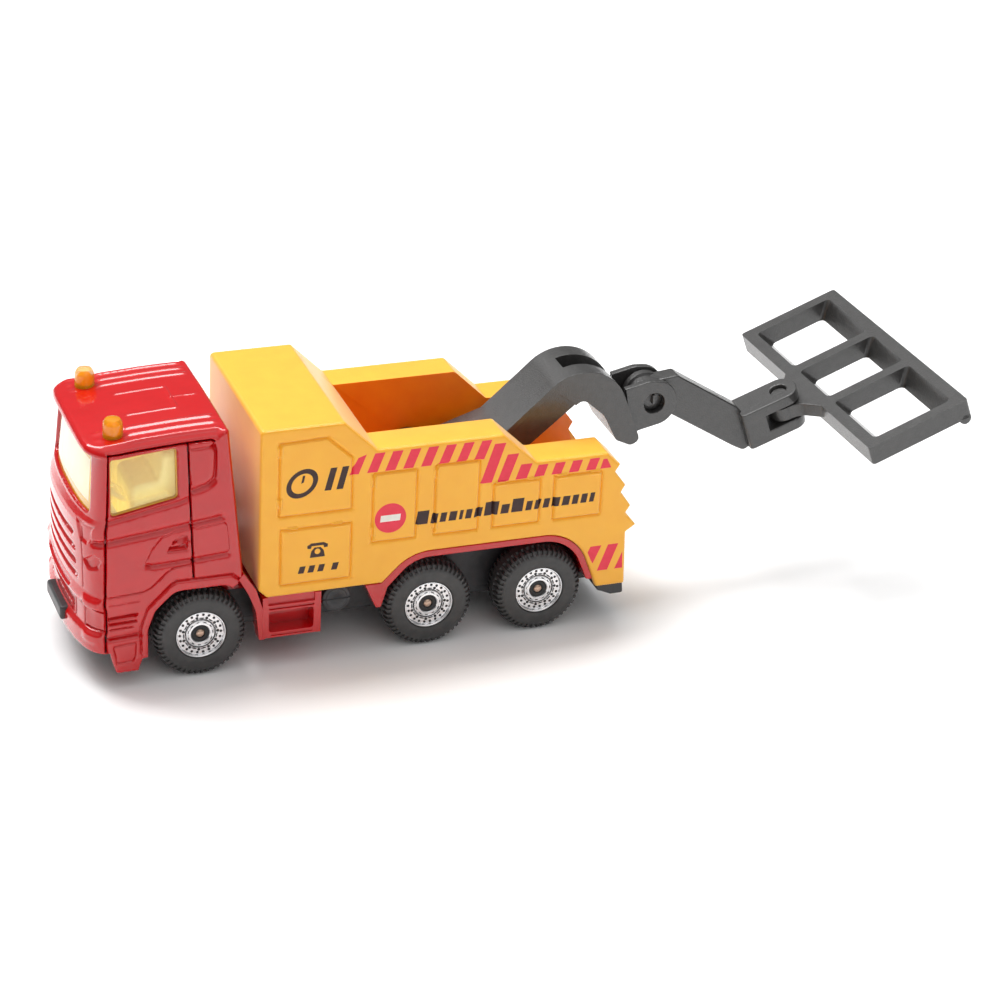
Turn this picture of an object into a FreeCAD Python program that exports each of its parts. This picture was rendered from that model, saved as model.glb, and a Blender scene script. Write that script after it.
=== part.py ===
import FreeCAD, Part
import math
import os
from FreeCAD import Placement, Rotation, Vector

# A small die-cast tow truck, in millimetres.  +X points forward to the cab, +Y to the truck's
# left side and +Z up; the ground is Z = 0.  Side outlines are drawn as (distance behind the
# front axle, height), because that is how the truck is measured on a bench.

doc = FreeCAD.newDocument("tow_truck")
sheet = doc.addObject("Spreadsheet::Sheet", "sizes")

DRIVING_SIZES = {
    # where the truck stands in its frame
    "front_axle_x": 47.33,
    # cutters and blanks that only have to reach past the truck
    "past_the_width": 30.0,
    "past_the_length": 90.0,
    "fit_gap": 0.05,
    # wheels and axles
    "axle_height": 6.5,
    "middle_axle_back": 33.3,
    "rear_axle_back": 50.0,
    "tyre_radius": 6.5,
    "tyre_inner_side": 7.8,
    "tyre_outer_side": 12.8,
    "tyre_shoulder": 1.0,
    "tyre_shoulder_radius": 6.4,
    "rim_radius": 3.6,
    "rim_lip_radius": 3.3,
    "rim_step_radius": 3.0,
    "rim_outer_side": 12.6,
    "rim_web_side": 12.1,
    "hub_recess_radius": 1.35,
    "hub_recess_side": 11.3,
    "axle_radius": 0.75,
    "axle_half_length": 12.3,
    "axle_clearance": 0.06,
    # cab and chassis casting
    "cab_half_width": 13.2,
    "cab_wall": 1.3,
    "windscreen_cut_ahead": 12.0,
    "plate_window_bottom": 6.85,
    "plate_window_height": 2.25,
    "beacon_back": -11.2,
    "beacon_side": 8.2,
    "beacon_radius": 1.4,
    "beacon_root": 34.6,
    "beacon_top": 39.75,
    "channel_back": 60.0,
    "channel_length": 64.6,
    "channel_top": 10.05,
    "deck_back": 26.5,
    "deck_length": 22.3,
    "deck_half_width": 7.3,
    "deck_bottom": 10.1,
    "deck_top": 11.3,
    "step_box_back": 17.2,
    "step_box_length": 8.6,
    "step_box_bottom": 4.8,
    "step_box_height": 6.5,
    "step_box_depth": 4.8,
    "step_opening_back": 16.1,
    "step_opening_length": 6.5,
    "step_opening_bottom": 5.8,
    "step_opening_height": 3.2,
    "step_opening_depth": 2.6,
    "rivet_radius": 1.2,
    "rivet_head_radius": 1.9,
    "rivet_head_height": 0.45,
    "front_rivet_back": 13.0,
    "front_rivet_top": 10.3,
    "rear_rivet_back": 41.65,
    "rear_rivet_top": 14.7,
    # glazing and seats
    "glazing_thickness": 0.9,
    "glazing_bottom": 25.2,
    "glazing_back": 1.5,
    "glazing_back_top": 34.2,
    "seat_floor_width": 22.6,
    "dashboard_width": 18.4,
    "seat_width": 6.4,
    "seat_side": 5.2,
    "steering_ring_radius": 2.2,
    "steering_ring_thickness": 0.45,
    "steering_ring_ahead": 10.0,
    "steering_ring_height": 26.6,
    "steering_tilt": -35.0,
    "steering_column_radius": 0.5,
    "steering_column_length": 3.0,
    "steering_column_ahead": 11.7,
    "steering_column_bottom": 24.2,
    "steering_spoke": 0.7,
    "steering_spoke_ahead": 9.7,
    "steering_spoke_bottom": 26.3,
    # superstructure
    "tub_half_width": 8.0,
    "body_half_width": 13.5,
    "body_skin": 1.2,
    "stub_end_gap": 0.15,
    # base plate
    "pan_bottom": 4.2,
    "pan_thickness": 1.2,
    "pan_half_width": 7.0,
    "pan_back": 62.6,
    "pan_length": 78.4,
    "plate_block_half_width": 4.3,
    "plate_block_ahead": 14.6,
    "plate_block_bottom": 6.9,
    "plate_block_depth": 3.4,
    "plate_block_height": 2.1,
    "block_foot_ahead": 13.4,
    "block_foot_depth": 2.4,
    "block_foot_height": 4.8,
    "rail_width": 1.0,
    "bearing_length": 4.4,
    "bearing_width": 2.4,
    "bearing_side": 5.6,
    "bearing_bottom": 5.3,
    "bearing_height": 3.4,
    "bumper_half_width": 12.6,
    "tank_back": 19.7,
    "tank_height": 9.2,
    "tank_radius": 2.1,
    "tank_inner_side": 8.15,
    "tank_outer_side": 12.2,
    "tank_neck_radius": 0.85,
    "tank_neck_inner_side": 6.5,
    "tank_neck_outer_side": 8.4,
    # boom, arm and lifting frame
    "boom_half_width": 4.7,
    "boom_pivot_back": 36.0,
    "boom_pivot_height": 21.6,
    "boom_hub_radius": 3.1,
    "boom_hub_half_length": 7.7,
    "boom_stub_radius": 1.5,
    "boom_stub_half_length": 9.1,
    "pivot_clearance": 0.06,
    "boom_slot_half_width": 1.65,
    "ear_outer_side": 3.25,
    "ear_inner_side": 2.2,
    "fold_pin_back": 70.04,
    "fold_pin_height": 29.49,
    "fold_hole_radius": 1.36,
    "tongue_half_width": 1.95,
    "tongue_radius": 3.1,
    "tongue_gap": 0.35,
    "fold_pin_inset": 0.2,
    "arm_half_width": 1.4,
    "swing_pin_back": 91.86,
    "swing_pin_height": 25.94,
    "frame_pitch": 20.27,
    "frame_yaw": 2.18,
    "clevis_top": 1.95,
    "clevis_bottom": -4.1,
    "slot_top": 0.25,
    "slot_bottom": -2.4,
    "swing_hole_radius": 1.25,
    "swing_pin_bottom": -3.6,
    "swing_pin_length": 5.0,
    "frame_tongue_thickness": 2.2,
    "frame_near_edge": 3.75,
    "frame_reach": 16.44,
    "frame_half_width": 21.22,
    "frame_thickness": 2.94,
    "frame_rail": 1.85,
    "middle_window_half_width": 4.75,
    "window_draft": 2.0,
    "window_overcut": 0.2,
    "lip_radius": 1.0,
    "lip_drop": 0.1,
}
for row, (alias, value) in enumerate(DRIVING_SIZES.items(), 1):
    sheet.set(f"A{row}", alias.replace("_", " "))
    sheet.set(f"B{row}", str(value))
    sheet.setAlias(f"B{row}", alias)
doc.recompute()


def size(alias):
    """A driving size, read back from the sheet."""
    return float(sheet.get(alias))


def bind(thing, **expressions):
    """Bind properties to sheet formulas; a double underscore stands for a dot."""
    for name, formula in expressions.items():
        words = formula.replace("(", " ( ").replace(")", " ) ").split()
        text = " ".join(f"sizes.{word}" if word in DRIVING_SIZES else word for word in words)
        thing.setExpression(name.replace("__", "."), text)


# ---- outlines ------------------------------------------------------------------------------


def side_points(points):
    """(behind the front axle, height[, corner radius]) becomes (x, z[, radius])."""
    front = size("front_axle_x")
    return [(front - point[0],) + tuple(point[1:]) for point in points]


def mirrored(points):
    """An outline's right half, from bottom to top, completed with its mirror image."""
    return list(points) + [(-point[0],) + tuple(point[1:]) for point in reversed(points)]


def inset(points, distance):
    """A closed outline with every edge moved inwards by the distance; corners stay sharp."""
    corners = [Vector(point[0], point[1], 0) for point in points]
    count = len(corners)
    area = sum(corners[i].x * corners[(i + 1) % count].y - corners[(i + 1) % count].x * corners[i].y
               for i in range(count))
    turn = 1 if area > 0 else -1
    moved = []
    for i in range(count):
        before = (corners[i] - corners[i - 1]).normalize()
        after = (corners[(i + 1) % count] - corners[i]).normalize()
        inward = Vector(-before.y, before.x, 0) * turn + Vector(-after.y, after.x, 0) * turn
        shift = inward * (2 * distance / inward.dot(inward))
        moved.append((corners[i].x + shift.x, corners[i].y + shift.y))
    return moved


def path_edges(points):
    """Lines through the points, with a tangent arc at each point that gives a corner radius."""
    corners = [Vector(point[0], point[1], 0) for point in points]
    count = len(corners)
    starts = []
    ends = []
    arcs = []
    for i, point in enumerate(points):
        radius = point[2] if len(point) > 2 else 0
        back = (corners[i - 1] - corners[i]).normalize()
        ahead = (corners[(i + 1) % count] - corners[i]).normalize()
        half_angle = back.getAngle(ahead) / 2
        reach = radius / math.tan(half_angle)
        enter = corners[i] + back * reach
        leave = corners[i] + ahead * reach
        starts.append(enter)
        ends.append(leave)
        middle = None
        if radius:
            bisector = (back + ahead).normalize()
            middle = corners[i] + bisector * (radius / math.sin(half_angle) - radius)
        arcs.append(middle)
    edges = []
    for i in range(count):
        if arcs[i] is not None:
            edges.append(Part.Arc(starts[i], arcs[i], ends[i]))
        following = starts[(i + 1) % count]
        if ends[i].distanceToPoint(following) > 1e-6:
            edges.append(Part.LineSegment(ends[i], following))
    return edges


# ---- building blocks -----------------------------------------------------------------------


def origin_plane(body, role):
    return next(item for item in body.Origin.OriginFeatures if item.Role == role)


def slab(name, plane, points, length, symmetric=True):
    """A PartDesign body with one outline padded to a length given as a sheet formula."""
    body = doc.addObject("PartDesign::Body", name)
    sketch = body.newObject("Sketcher::SketchObject", name + "_outline")
    sketch.AttachmentSupport = [(origin_plane(body, plane), "")]
    sketch.MapMode = "FlatFace"
    for edge in path_edges(points):
        sketch.addGeometry(edge, False)
    pad = body.newObject("PartDesign::Pad", name + "_pad")
    pad.Profile = sketch
    pad.SideType = "Symmetric" if symmetric else "One side"
    bind(pad, Length=length)
    return body


def side_slab(name, points, length):
    """A slab drawn in the side view and padded equally to the left and right."""
    return slab(name, "XZ_Plane", side_points(points), length)


def revolved(name, points):
    """A PartDesign body turned about the Y axis from an outline of (radius, side)."""
    body = doc.addObject("PartDesign::Body", name)
    sketch = body.newObject("Sketcher::SketchObject", name + "_outline")
    sketch.AttachmentSupport = [(origin_plane(body, "XY_Plane"), "")]
    sketch.MapMode = "FlatFace"
    for edge in path_edges(points):
        sketch.addGeometry(edge, False)
    turn = body.newObject("PartDesign::Revolution", name + "_turn")
    turn.Profile = sketch
    turn.ReferenceAxis = (sketch, ["V_Axis"])
    turn.Angle = 360
    return body


def box(name, back, side, height, spans):
    """A Part::Box.  back, side and height are the formulas of its low corner as (behind the
    front axle at its rear end, side, height); spans are its three lengths."""
    block = doc.addObject("Part::Box", name)
    bind(block, Length=spans[0], Width=spans[1], Height=spans[2], Placement__Base__x=back,
         Placement__Base__y=side, Placement__Base__z=height)
    return block


def cross_cylinder(name, back, height, radius, from_side, length):
    """A Part::Cylinder along +Y that starts at from_side."""
    rod = doc.addObject("Part::Cylinder", name)
    rod.Placement = Placement(Vector(0, 0, 0), Rotation(Vector(1, 0, 0), -90))
    bind(rod, Radius=radius, Height=length, Placement__Base__x=f"front_axle_x - ( {back} )",
         Placement__Base__y=from_side, Placement__Base__z=height)
    return rod


def post(name, back, side, bottom, radius, height):
    """A Part::Cylinder standing along +Z."""
    rod = doc.addObject("Part::Cylinder", name)
    bind(rod, Radius=radius, Height=height, Placement__Base__x=f"front_axle_x - ( {back} )",
         Placement__Base__y=side, Placement__Base__z=bottom)
    return rod


def fuse(name, pieces, refine=False):
    joined = doc.addObject("Part::MultiFuse", name)
    joined.Shapes = pieces
    joined.Refine = refine
    return joined


def common(name, pieces):
    shared = doc.addObject("Part::MultiCommon", name)
    shared.Shapes = pieces
    return shared


def cut(name, base, tools):
    """base with every tool taken away."""
    result = doc.addObject("Part::Cut", name)
    result.Base = base
    result.Tool = tools[0] if len(tools) == 1 else fuse(name + "_tools", tools)
    return result


parts = {}


def finished(label, thing):
    """Name a finished sub-part; its label is also its file's name."""
    thing.Label = label
    parts[label] = thing
    return thing


# ---- cab and chassis casting ---------------------------------------------------------------

CAB_SIDE = [(-17.5, 5.6), (-17.6, 24.5), (-16.4, 26.0), (-15.3, 35.2), (-16.7, 35.4),
            (-16.4, 36.3), (-8.0, 37.1), (3.6, 37.6), (4.3, 36.4), (6.0, 15.2), (7.4, 12.6),
            (9.1, 4.6), (8.2, 4.6), (8.2, 2.4), (-12.1, 2.4), (-13.0, 5.6)]
CAB_ROOM_SIDE = CAB_SIDE[:3] + [(-15.1, 36.5), (-8.0, 37.1), (4.2, 37.6)] + CAB_SIDE[9:]
# (side, distance ahead of the front axle)
CAB_PLAN = mirrored([(12.9, -30.0), (13.2, -28.0), (13.2, 13.2), (12.9, 14.2), (12.0, 15.4),
                     (9.8, 16.3), (7.2, 17.0), (3.3, 17.45)])
CAB_FRONT = mirrored([(13.2, 2.0), (13.2, 16.0), (12.1, 34.8), (11.6, 36.2), (10.2, 37.2),
                      (8.8, 37.8)])
CAB_ROOM_FRONT = mirrored([(13.2, 2.0), (13.2, 16.0), (12.1, 34.8), (9.6, 37.8)])
WHEEL_ARCH = [(-7.6, 1.0), (-7.6, 8.6, 2.0), (-6.6, 11.4, 2.0), (-3.8, 14.1, 2.5),
              (3.7, 14.1, 3.0), (6.8, 10.4, 3.0), (8.2, 4.6), (8.2, 1.0)]


def cab_core(name, distance):
    """The cab's outer form, or with a distance the same form that much inside it."""
    outline = CAB_ROOM_SIDE if distance else CAB_SIDE
    front_outline = CAB_ROOM_FRONT if distance else CAB_FRONT
    side = slab(name + "_side", "XZ_Plane", inset(side_points(outline), distance),
                "2 * cab_half_width")
    plan_outline = [(size("front_axle_x") + ahead, side_y) for side_y, ahead in CAB_PLAN]
    plan = slab(name + "_plan", "XY_Plane", inset(plan_outline, distance), "past_the_length")
    front = slab(name + "_front", "YZ_Plane", inset(front_outline, distance),
                 "past_the_length", symmetric=False)
    return common(name, [side, plan, front])


cab_outside = cab_core("cab_outside", 0)
cab_room = cab_core("cab_room", size("cab_wall"))
cab_floor_opening = side_slab("cab_floor_opening",
                              [(-16.1, 0.0), (-16.1, 16.0), (4.6, 16.0), (4.6, 0.0)],
                              "2 * ( cab_half_width - cab_wall )")
wheel_arch = side_slab("wheel_arch", WHEEL_ARCH, "past_the_width")
side_window = side_slab("side_window", [(-12.6, 35.2, 0.5), (-3.2, 35.6, 0.5),
                                        (-3.1, 28.2, 0.6), (-12.7, 26.4, 0.6)],
                        "past_the_width")
windscreen = slab("windscreen", "YZ_Plane", mirrored([(10.7, 26.7, 1.0), (10.2, 34.6, 1.0)]),
                  "past_the_width", symmetric=False)
bind(windscreen, Placement__Base__x="front_axle_x + windscreen_cut_ahead")
plate_window = box("plate_window", "front_axle_x + windscreen_cut_ahead",
                   "-1 * plate_block_half_width - fit_gap", "plate_window_bottom",
                   ("past_the_width", "2 * ( plate_block_half_width + fit_gap )",
                    "plate_window_height"))
beacon_holes = []
for hand in (-1, 1):
    word = "left" if hand > 0 else "right"
    beacon_holes.append(post(f"{word}_beacon_hole", "beacon_back", f"{hand} * beacon_side",
                             "beacon_root", "beacon_radius + fit_gap",
                             "beacon_top - beacon_root"))
cab = cut("cab_shell", cab_outside, [cab_room, cab_floor_opening, wheel_arch, side_window,
                                     windscreen, plate_window] + beacon_holes)
chassis_channel = box("chassis_channel", "front_axle_x - channel_back",
                      "-1 * pan_half_width - fit_gap", "0",
                      ("channel_length", "2 * ( pan_half_width + fit_gap )", "channel_top"))

REAR_ARCH = [(26.0, 11.4), (30.2, 15.6, 7.0), (54.9, 15.6, 7.0), (58.5, 6.2)]
FENDER = [(25.2, 7.4), (23.5, 11.3), (25.9, 11.3), (30.2, 15.55, 7.0), (54.87, 15.55, 7.0),
          (58.0, 7.5), (57.0, 7.5), (54.1, 14.5, 6.0), (30.7, 14.5, 5.5), (26.9, 10.5),
          (26.0, 7.4)]
fender = side_slab("rear_fender", FENDER, "2 * cab_half_width")
deck = box("deck", "front_axle_x - deck_back", "-1 * deck_half_width", "deck_bottom",
           ("deck_length", "2 * deck_half_width", "deck_top - deck_bottom"))
casting_pieces = [cab, fender, deck]
rivets = []
step_openings = []
for hand in (-1, 1):
    word = "left" if hand > 0 else "right"
    inner = "cab_half_width - step_box_depth" if hand > 0 else "-1 * cab_half_width"
    mouth = ("cab_half_width - step_opening_depth" if hand > 0
             else "-1 * cab_half_width - 1")
    casting_pieces.append(box(f"{word}_step_box", "front_axle_x - step_box_back", inner,
                              "step_box_bottom",
                              ("step_box_length", "step_box_depth", "step_box_height")))
    step_openings.append(box(f"{word}_step_opening", "front_axle_x - step_opening_back", mouth,
                             "step_opening_bottom",
                             ("step_opening_length", "step_opening_depth + 1",
                              "step_opening_height")))
for word in ("front", "rear"):
    rivets.append(post(f"{word}_rivet_post", f"{word}_rivet_back", "0", "pan_bottom",
                       "rivet_radius", f"{word}_rivet_top - pan_bottom"))
    rivets.append(post(f"{word}_rivet_head", f"{word}_rivet_back", "0", "pan_bottom",
                       "rivet_head_radius", "rivet_head_height"))
casting_blank = cut("casting_blank", fuse("casting_pieces", casting_pieces),
                    step_openings + [chassis_channel])
finished("cab_casting", fuse("casting", [casting_blank] + rivets))

# ---- window insert with the roof beacons, and the seats --------------------------------------

glazing_depth = size("cab_wall") + size("fit_gap")
glazing_outside = cab_core("glazing_outside", glazing_depth)
glazing_room = cab_core("glazing_room", glazing_depth + size("glazing_thickness"))
below_glazing = box("below_glazing", "front_axle_x - past_the_width", "-1 * past_the_width", "0",
                    ("2 * past_the_width", "2 * past_the_width", "glazing_bottom"))
behind_glazing = box("behind_glazing", "front_axle_x - past_the_width", "-1 * past_the_width",
                     "0", ("past_the_width - glazing_back", "2 * past_the_width",
                           "glazing_back_top"))
glazing = cut("glazing", glazing_outside, [glazing_room, below_glazing, behind_glazing])
insert_pieces = [glazing]
for hand in (-1, 1):
    word = "left" if hand > 0 else "right"
    insert_pieces.append(post(f"{word}_beacon", "beacon_back", f"{hand} * beacon_side",
                              "beacon_root", "beacon_radius", "beacon_top - beacon_root"))
finished("window_insert", fuse("insert", insert_pieces, refine=True))

seat_floor = side_slab("seat_floor", [(-14.0, 16.6), (-14.0, 17.8), (3.4, 17.8), (3.4, 16.6)],
                       "seat_floor_width")
dashboard = side_slab("dashboard", [(-13.7, 17.7), (-13.7, 25.4, 0.8), (-11.8, 26.6, 1.0),
                                    (-10.8, 23.8), (-11.6, 17.7)], "dashboard_width")
interior_pieces = [seat_floor, dashboard]
for hand in (-1, 1):
    word = "left" if hand > 0 else "right"
    seat = side_slab(f"{word}_seat", [(-8.2, 17.7), (-8.2, 22.6, 1.0), (-3.6, 23.2, 0.5),
                                      (-2.9, 33.6, 1.0), (-0.2, 33.6, 0.8), (-0.2, 17.7)],
                     "seat_width")
    bind(seat, Placement__Base__y=f"{hand} * seat_side")
    interior_pieces.append(seat)
steering_turn = Rotation(Vector(0, 1, 0), size("steering_tilt"))
steering_ring = doc.addObject("Part::Torus", "steering_ring")
steering_ring.Placement = Placement(Vector(0, 0, 0), steering_turn)
bind(steering_ring, Radius1="steering_ring_radius", Radius2="steering_ring_thickness",
     Placement__Base__x="front_axle_x + steering_ring_ahead", Placement__Base__y="seat_side",
     Placement__Base__z="steering_ring_height")
steering_column = doc.addObject("Part::Cylinder", "steering_column")
steering_column.Placement = Placement(Vector(0, 0, 0), steering_turn)
bind(steering_column, Radius="steering_column_radius", Height="steering_column_length",
     Placement__Base__x="front_axle_x + steering_column_ahead", Placement__Base__y="seat_side",
     Placement__Base__z="steering_column_bottom")
steering_spoke = box("steering_spoke", "front_axle_x + steering_spoke_ahead",
                     "seat_side - steering_ring_radius", "steering_spoke_bottom",
                     ("steering_spoke", "2 * steering_ring_radius", "steering_spoke"))
finished("interior_moulding", fuse("interior", interior_pieces + [steering_ring,
                                                                  steering_column,
                                                                  steering_spoke]))

# ---- superstructure --------------------------------------------------------------------------

TEETH = [(62.6, 14.6), (64.1, 15.6), (62.1, 17.6), (63.1, 18.8), (61.2, 21.0), (62.1, 22.2),
         (60.1, 24.4), (61.1, 25.6), (59.0, 27.7)]
BODY_SIDE = [(8.0, 12.6), (8.0, 37.2, 0.6), (19.9, 37.2), (24.7, 32.5), (43.2, 32.5),
             (48.2, 27.7)] + TEETH[::-1] + [(62.9, 6.2), (58.5, 6.2)] + REAR_ARCH[-2:0:-1] + [
             (26.0, 11.4), (9.2, 11.4)]
ROOM_SIDE = [(9.2, 0.0), (9.2, 36.0), (19.4, 36.0), (24.2, 31.3), (42.7, 31.3), (47.7, 26.5),
             (57.6, 26.5), (61.4, 14.6), (61.7, 6.0), (61.7, 0.0)]
TUB_SIDE = [(25.4, 17.0, 0.8), (24.9, 32.3), (19.7, 37.4), (19.7, 40.0), (70.0, 40.0),
            (70.0, 17.0)]
TUB_SHELL_SIDE = [(24.0, 15.75), (23.6, 31.9), (19.7, 35.4), (19.7, 40.0), (70.0, 40.0),
                  (70.0, 15.75)]
body_outside = side_slab("body_outside", BODY_SIDE, "2 * body_half_width")
body_room = side_slab("body_room", ROOM_SIDE, "2 * ( body_half_width - body_skin )")
tub_shell = side_slab("tub_shell", TUB_SHELL_SIDE, "2 * ( tub_half_width + body_skin )")
tub = side_slab("tub", TUB_SIDE, "2 * tub_half_width")
pivot_holes = cross_cylinder("pivot_holes", "boom_pivot_back", "boom_pivot_height",
                             "boom_stub_radius + pivot_clearance",
                             "-1 * ( boom_stub_half_length + stub_end_gap )",
                             "2 * ( boom_stub_half_length + stub_end_gap )")
body_hollow = cut("body_hollow", body_room, [tub_shell])
finished("superstructure", cut("body", body_outside, [body_hollow, tub, pivot_holes]))

# ---- base plate ------------------------------------------------------------------------------

pan = box("pan", "front_axle_x - pan_back", "-1 * pan_half_width", "pan_bottom",
          ("pan_length", "2 * pan_half_width", "pan_thickness"))
plate_block = box("plate_block", "front_axle_x + plate_block_ahead",
                  "-1 * plate_block_half_width", "plate_block_bottom",
                  ("plate_block_depth", "2 * plate_block_half_width", "plate_block_height"))
block_foot = box("plate_block_foot", "front_axle_x + block_foot_ahead",
                 "-1 * plate_block_half_width", "pan_bottom",
                 ("block_foot_depth", "2 * plate_block_half_width", "block_foot_height"))
base_pieces = [pan, plate_block, block_foot]
for hand in (-1, 1):
    word = "left" if hand > 0 else "right"
    wall = side_slab(f"{word}_rail", [(-4.0, 5.3), (-4.0, 9.9), (28.0, 9.9), (30.4, 13.2),
                                      (52.4, 13.2), (55.4, 9.0), (55.4, 5.3)],
                     "rail_width")
    bind(wall, Placement__Base__y=f"{hand} * ( pan_half_width - rail_width / 2 )")
    base_pieces.append(wall)
    for axle, back in (("front", "0"), ("middle", "middle_axle_back"),
                       ("rear", "rear_axle_back")):
        base_pieces.append(box(f"{word}_{axle}_bearing",
                               f"front_axle_x - {back} - bearing_length / 2",
                               f"{hand} * bearing_side - bearing_width / 2", "bearing_bottom",
                               ("bearing_length", "bearing_width", "bearing_height")))
    start = "tank_neck_inner_side" if hand > 0 else "-1 * tank_neck_outer_side"
    base_pieces.append(cross_cylinder(f"{word}_tank_neck", "tank_back", "tank_height",
                                      "tank_neck_radius", start,
                                      "tank_neck_outer_side - tank_neck_inner_side"))
    start = "tank_inner_side" if hand > 0 else "-1 * tank_outer_side"
    base_pieces.append(cross_cylinder(f"{word}_tank", "tank_back", "tank_height", "tank_radius",
                                      start, "tank_outer_side - tank_inner_side"))
rear_bumper = side_slab("rear_bumper", [(58.9, 6.1), (62.9, 6.1), (63.1, 4.2), (61.2, 4.2),
                                        (59.0, 5.2)], "2 * bumper_half_width")
base_pieces.append(rear_bumper)
base_holes = []
for axle, back in (("front", "0"), ("middle", "middle_axle_back"), ("rear", "rear_axle_back")):
    base_holes.append(cross_cylinder(f"{axle}_axle_bore", back, "axle_height",
                                     "axle_radius + axle_clearance", "-1 * past_the_width",
                                     "2 * past_the_width"))
for word in ("front", "rear"):
    base_holes.append(post(f"{word}_rivet_hole", f"{word}_rivet_back", "0", "0",
                           "rivet_radius + fit_gap", "pan_bottom + pan_thickness + 1"))
    base_holes.append(post(f"{word}_rivet_recess", f"{word}_rivet_back", "0", "0",
                           "rivet_head_radius + fit_gap",
                           "pan_bottom + rivet_head_height + fit_gap"))
finished("base_plate", cut("base", fuse("base_blank", base_pieces), base_holes))

# ---- wheels and axles ------------------------------------------------------------------------

RIM = [("axle_radius", "tyre_inner_side"), ("rim_radius", "tyre_inner_side"),
       ("rim_radius", "rim_outer_side"), ("rim_lip_radius", "rim_outer_side"),
       ("rim_step_radius", "rim_web_side"), ("hub_recess_radius", "rim_web_side"),
       ("hub_recess_radius", "hub_recess_side"), ("axle_radius", "hub_recess_side")]
def wheel_outline(points, hand):
    return [(size(radius), hand * size(side)) for radius, side in points]


def tyre_outline(hand):
    shoulder = size("tyre_shoulder")
    edge = size("tyre_shoulder_radius")
    bead = size("rim_radius")
    inner = size("tyre_inner_side")
    outer = size("tyre_outer_side")
    return [(bead, hand * inner), (edge, hand * inner, shoulder),
            (size("tyre_radius"), hand * (inner + outer) / 2), (edge, hand * outer, shoulder),
            (bead, hand * outer)]


for axle, back in (("front", "0"), ("middle", "middle_axle_back"), ("rear", "rear_axle_back")):
    rod = cross_cylinder(f"{axle}_rod", back, "axle_height", "axle_radius",
                         "-1 * axle_half_length", "2 * axle_half_length")
    finished(f"{axle}_axle", rod)
    for hand in (1, -1):
        word = "left" if hand > 0 else "right"
        rim = revolved(f"{axle}_{word}_rim_body", wheel_outline(RIM, hand))
        tyre = revolved(f"{axle}_{word}_tyre_body", tyre_outline(hand))
        for label, body in ((f"{axle}_{word}_rim", rim), (f"{axle}_{word}_tyre", tyre)):
            bind(body, Placement__Base__x=f"front_axle_x - {back}",
                 Placement__Base__z="axle_height")
            finished(label, body)

# ---- boom ------------------------------------------------------------------------------------

BOOM_SIDE = [(36.3, 24.75), (46.24, 28.04), (54.4, 35.4, 1.5), (57.6, 36.6, 3.0),
             (62.6, 35.6, 4.0), (66.0, 30.6), (67.9, 25.0, 0.9), (66.1, 23.9, 0.9),
             (63.8, 25.0, 1.0), (61.7, 29.2, 3.0), (58.3, 32.2, 1.2), (48.6, 24.1),
             (37.2, 18.75)]
boom_beam = side_slab("boom_beam", BOOM_SIDE, "2 * boom_half_width")
boom_hub = cross_cylinder("boom_hub", "boom_pivot_back", "boom_pivot_height",
                          "boom_hub_radius", "-1 * boom_hub_half_length",
                          "2 * boom_hub_half_length")
boom_stubs = cross_cylinder("boom_stubs", "boom_pivot_back", "boom_pivot_height",
                            "boom_stub_radius", "-1 * boom_stub_half_length",
                            "2 * boom_stub_half_length")
elbow_slot = side_slab("elbow_slot", [(55.2, 38.0), (54.6, 35.0), (57.2, 33.6), (60.0, 33.4),
                                      (62.2, 32.0), (64.0, 28.0), (70.0, 28.0), (70.0, 38.0)],
                       "2 * boom_slot_half_width")
EAR_SIDE = [(65.4, 32.2), (69.0, 33.0, 3.2), (73.5, 32.6, 3.2), (73.5, 26.6, 3.3),
            (68.0, 25.4), (66.6, 24.9)]
boom_pieces = [boom_beam, boom_hub, boom_stubs]
for hand in (-1, 1):
    word = "left" if hand > 0 else "right"
    ear = side_slab(f"{word}_ear", EAR_SIDE, "ear_outer_side - ear_inner_side")
    bind(ear, Placement__Base__y=f"{hand} * ( ear_outer_side + ear_inner_side ) / 2")
    boom_pieces.append(ear)
fold_hole = cross_cylinder("fold_hole", "fold_pin_back", "fold_pin_height", "fold_hole_radius",
                           "-1 * past_the_width", "2 * past_the_width")
tongue_room = cross_cylinder("tongue_room", "fold_pin_back", "fold_pin_height",
                             "tongue_radius + tongue_gap", "-1 * ear_inner_side",
                             "2 * ear_inner_side")
finished("boom", cut("boom_body", fuse("boom_blank", boom_pieces),
                     [elbow_slot, fold_hole, tongue_room]))

# ---- arm -------------------------------------------------------------------------------------

ARM_SIDE = [(70.6, 32.2), (74.3, 32.6, 0.8), (84.2, 26.35), (85.0, 25.45), (86.2, 25.8),
            (87.6, 20.3), (85.9, 19.0, 1.0), (84.0, 20.0), (71.3, 27.9)]
arm_bar = side_slab("arm_bar", ARM_SIDE, "2 * arm_half_width")
tongue = cross_cylinder("arm_tongue", "fold_pin_back", "fold_pin_height", "tongue_radius",
                        "-1 * tongue_half_width", "2 * tongue_half_width")
fold_pins = cross_cylinder("fold_pins", "fold_pin_back", "fold_pin_height",
                           "fold_hole_radius - pivot_clearance",
                           "-1 * ( ear_outer_side - fold_pin_inset )",
                           "2 * ( ear_outer_side - fold_pin_inset )")


def tilted(thing, yaw):
    """Place a piece drawn about the swing pin, with +X pointing out along the frame.  The
    frame's reach runs backwards and up, so it is turned about Z and pitched about Y."""
    turn = Rotation(Vector(0, 1, 0), size("frame_pitch")) * Rotation(Vector(0, 0, 1), 180 + yaw)
    thing.Placement = Placement(Vector(size("front_axle_x") - size("swing_pin_back"), 0,
                                       size("swing_pin_height")), turn)
    return thing


CLEVIS_PLAN = [(-7.2, 2.75, 0.6), (2.0, 2.75, 2.2), (2.9, 0.0, 2.0), (2.0, -2.75, 2.2),
               (-7.2, -2.75, 0.6)]


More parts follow.
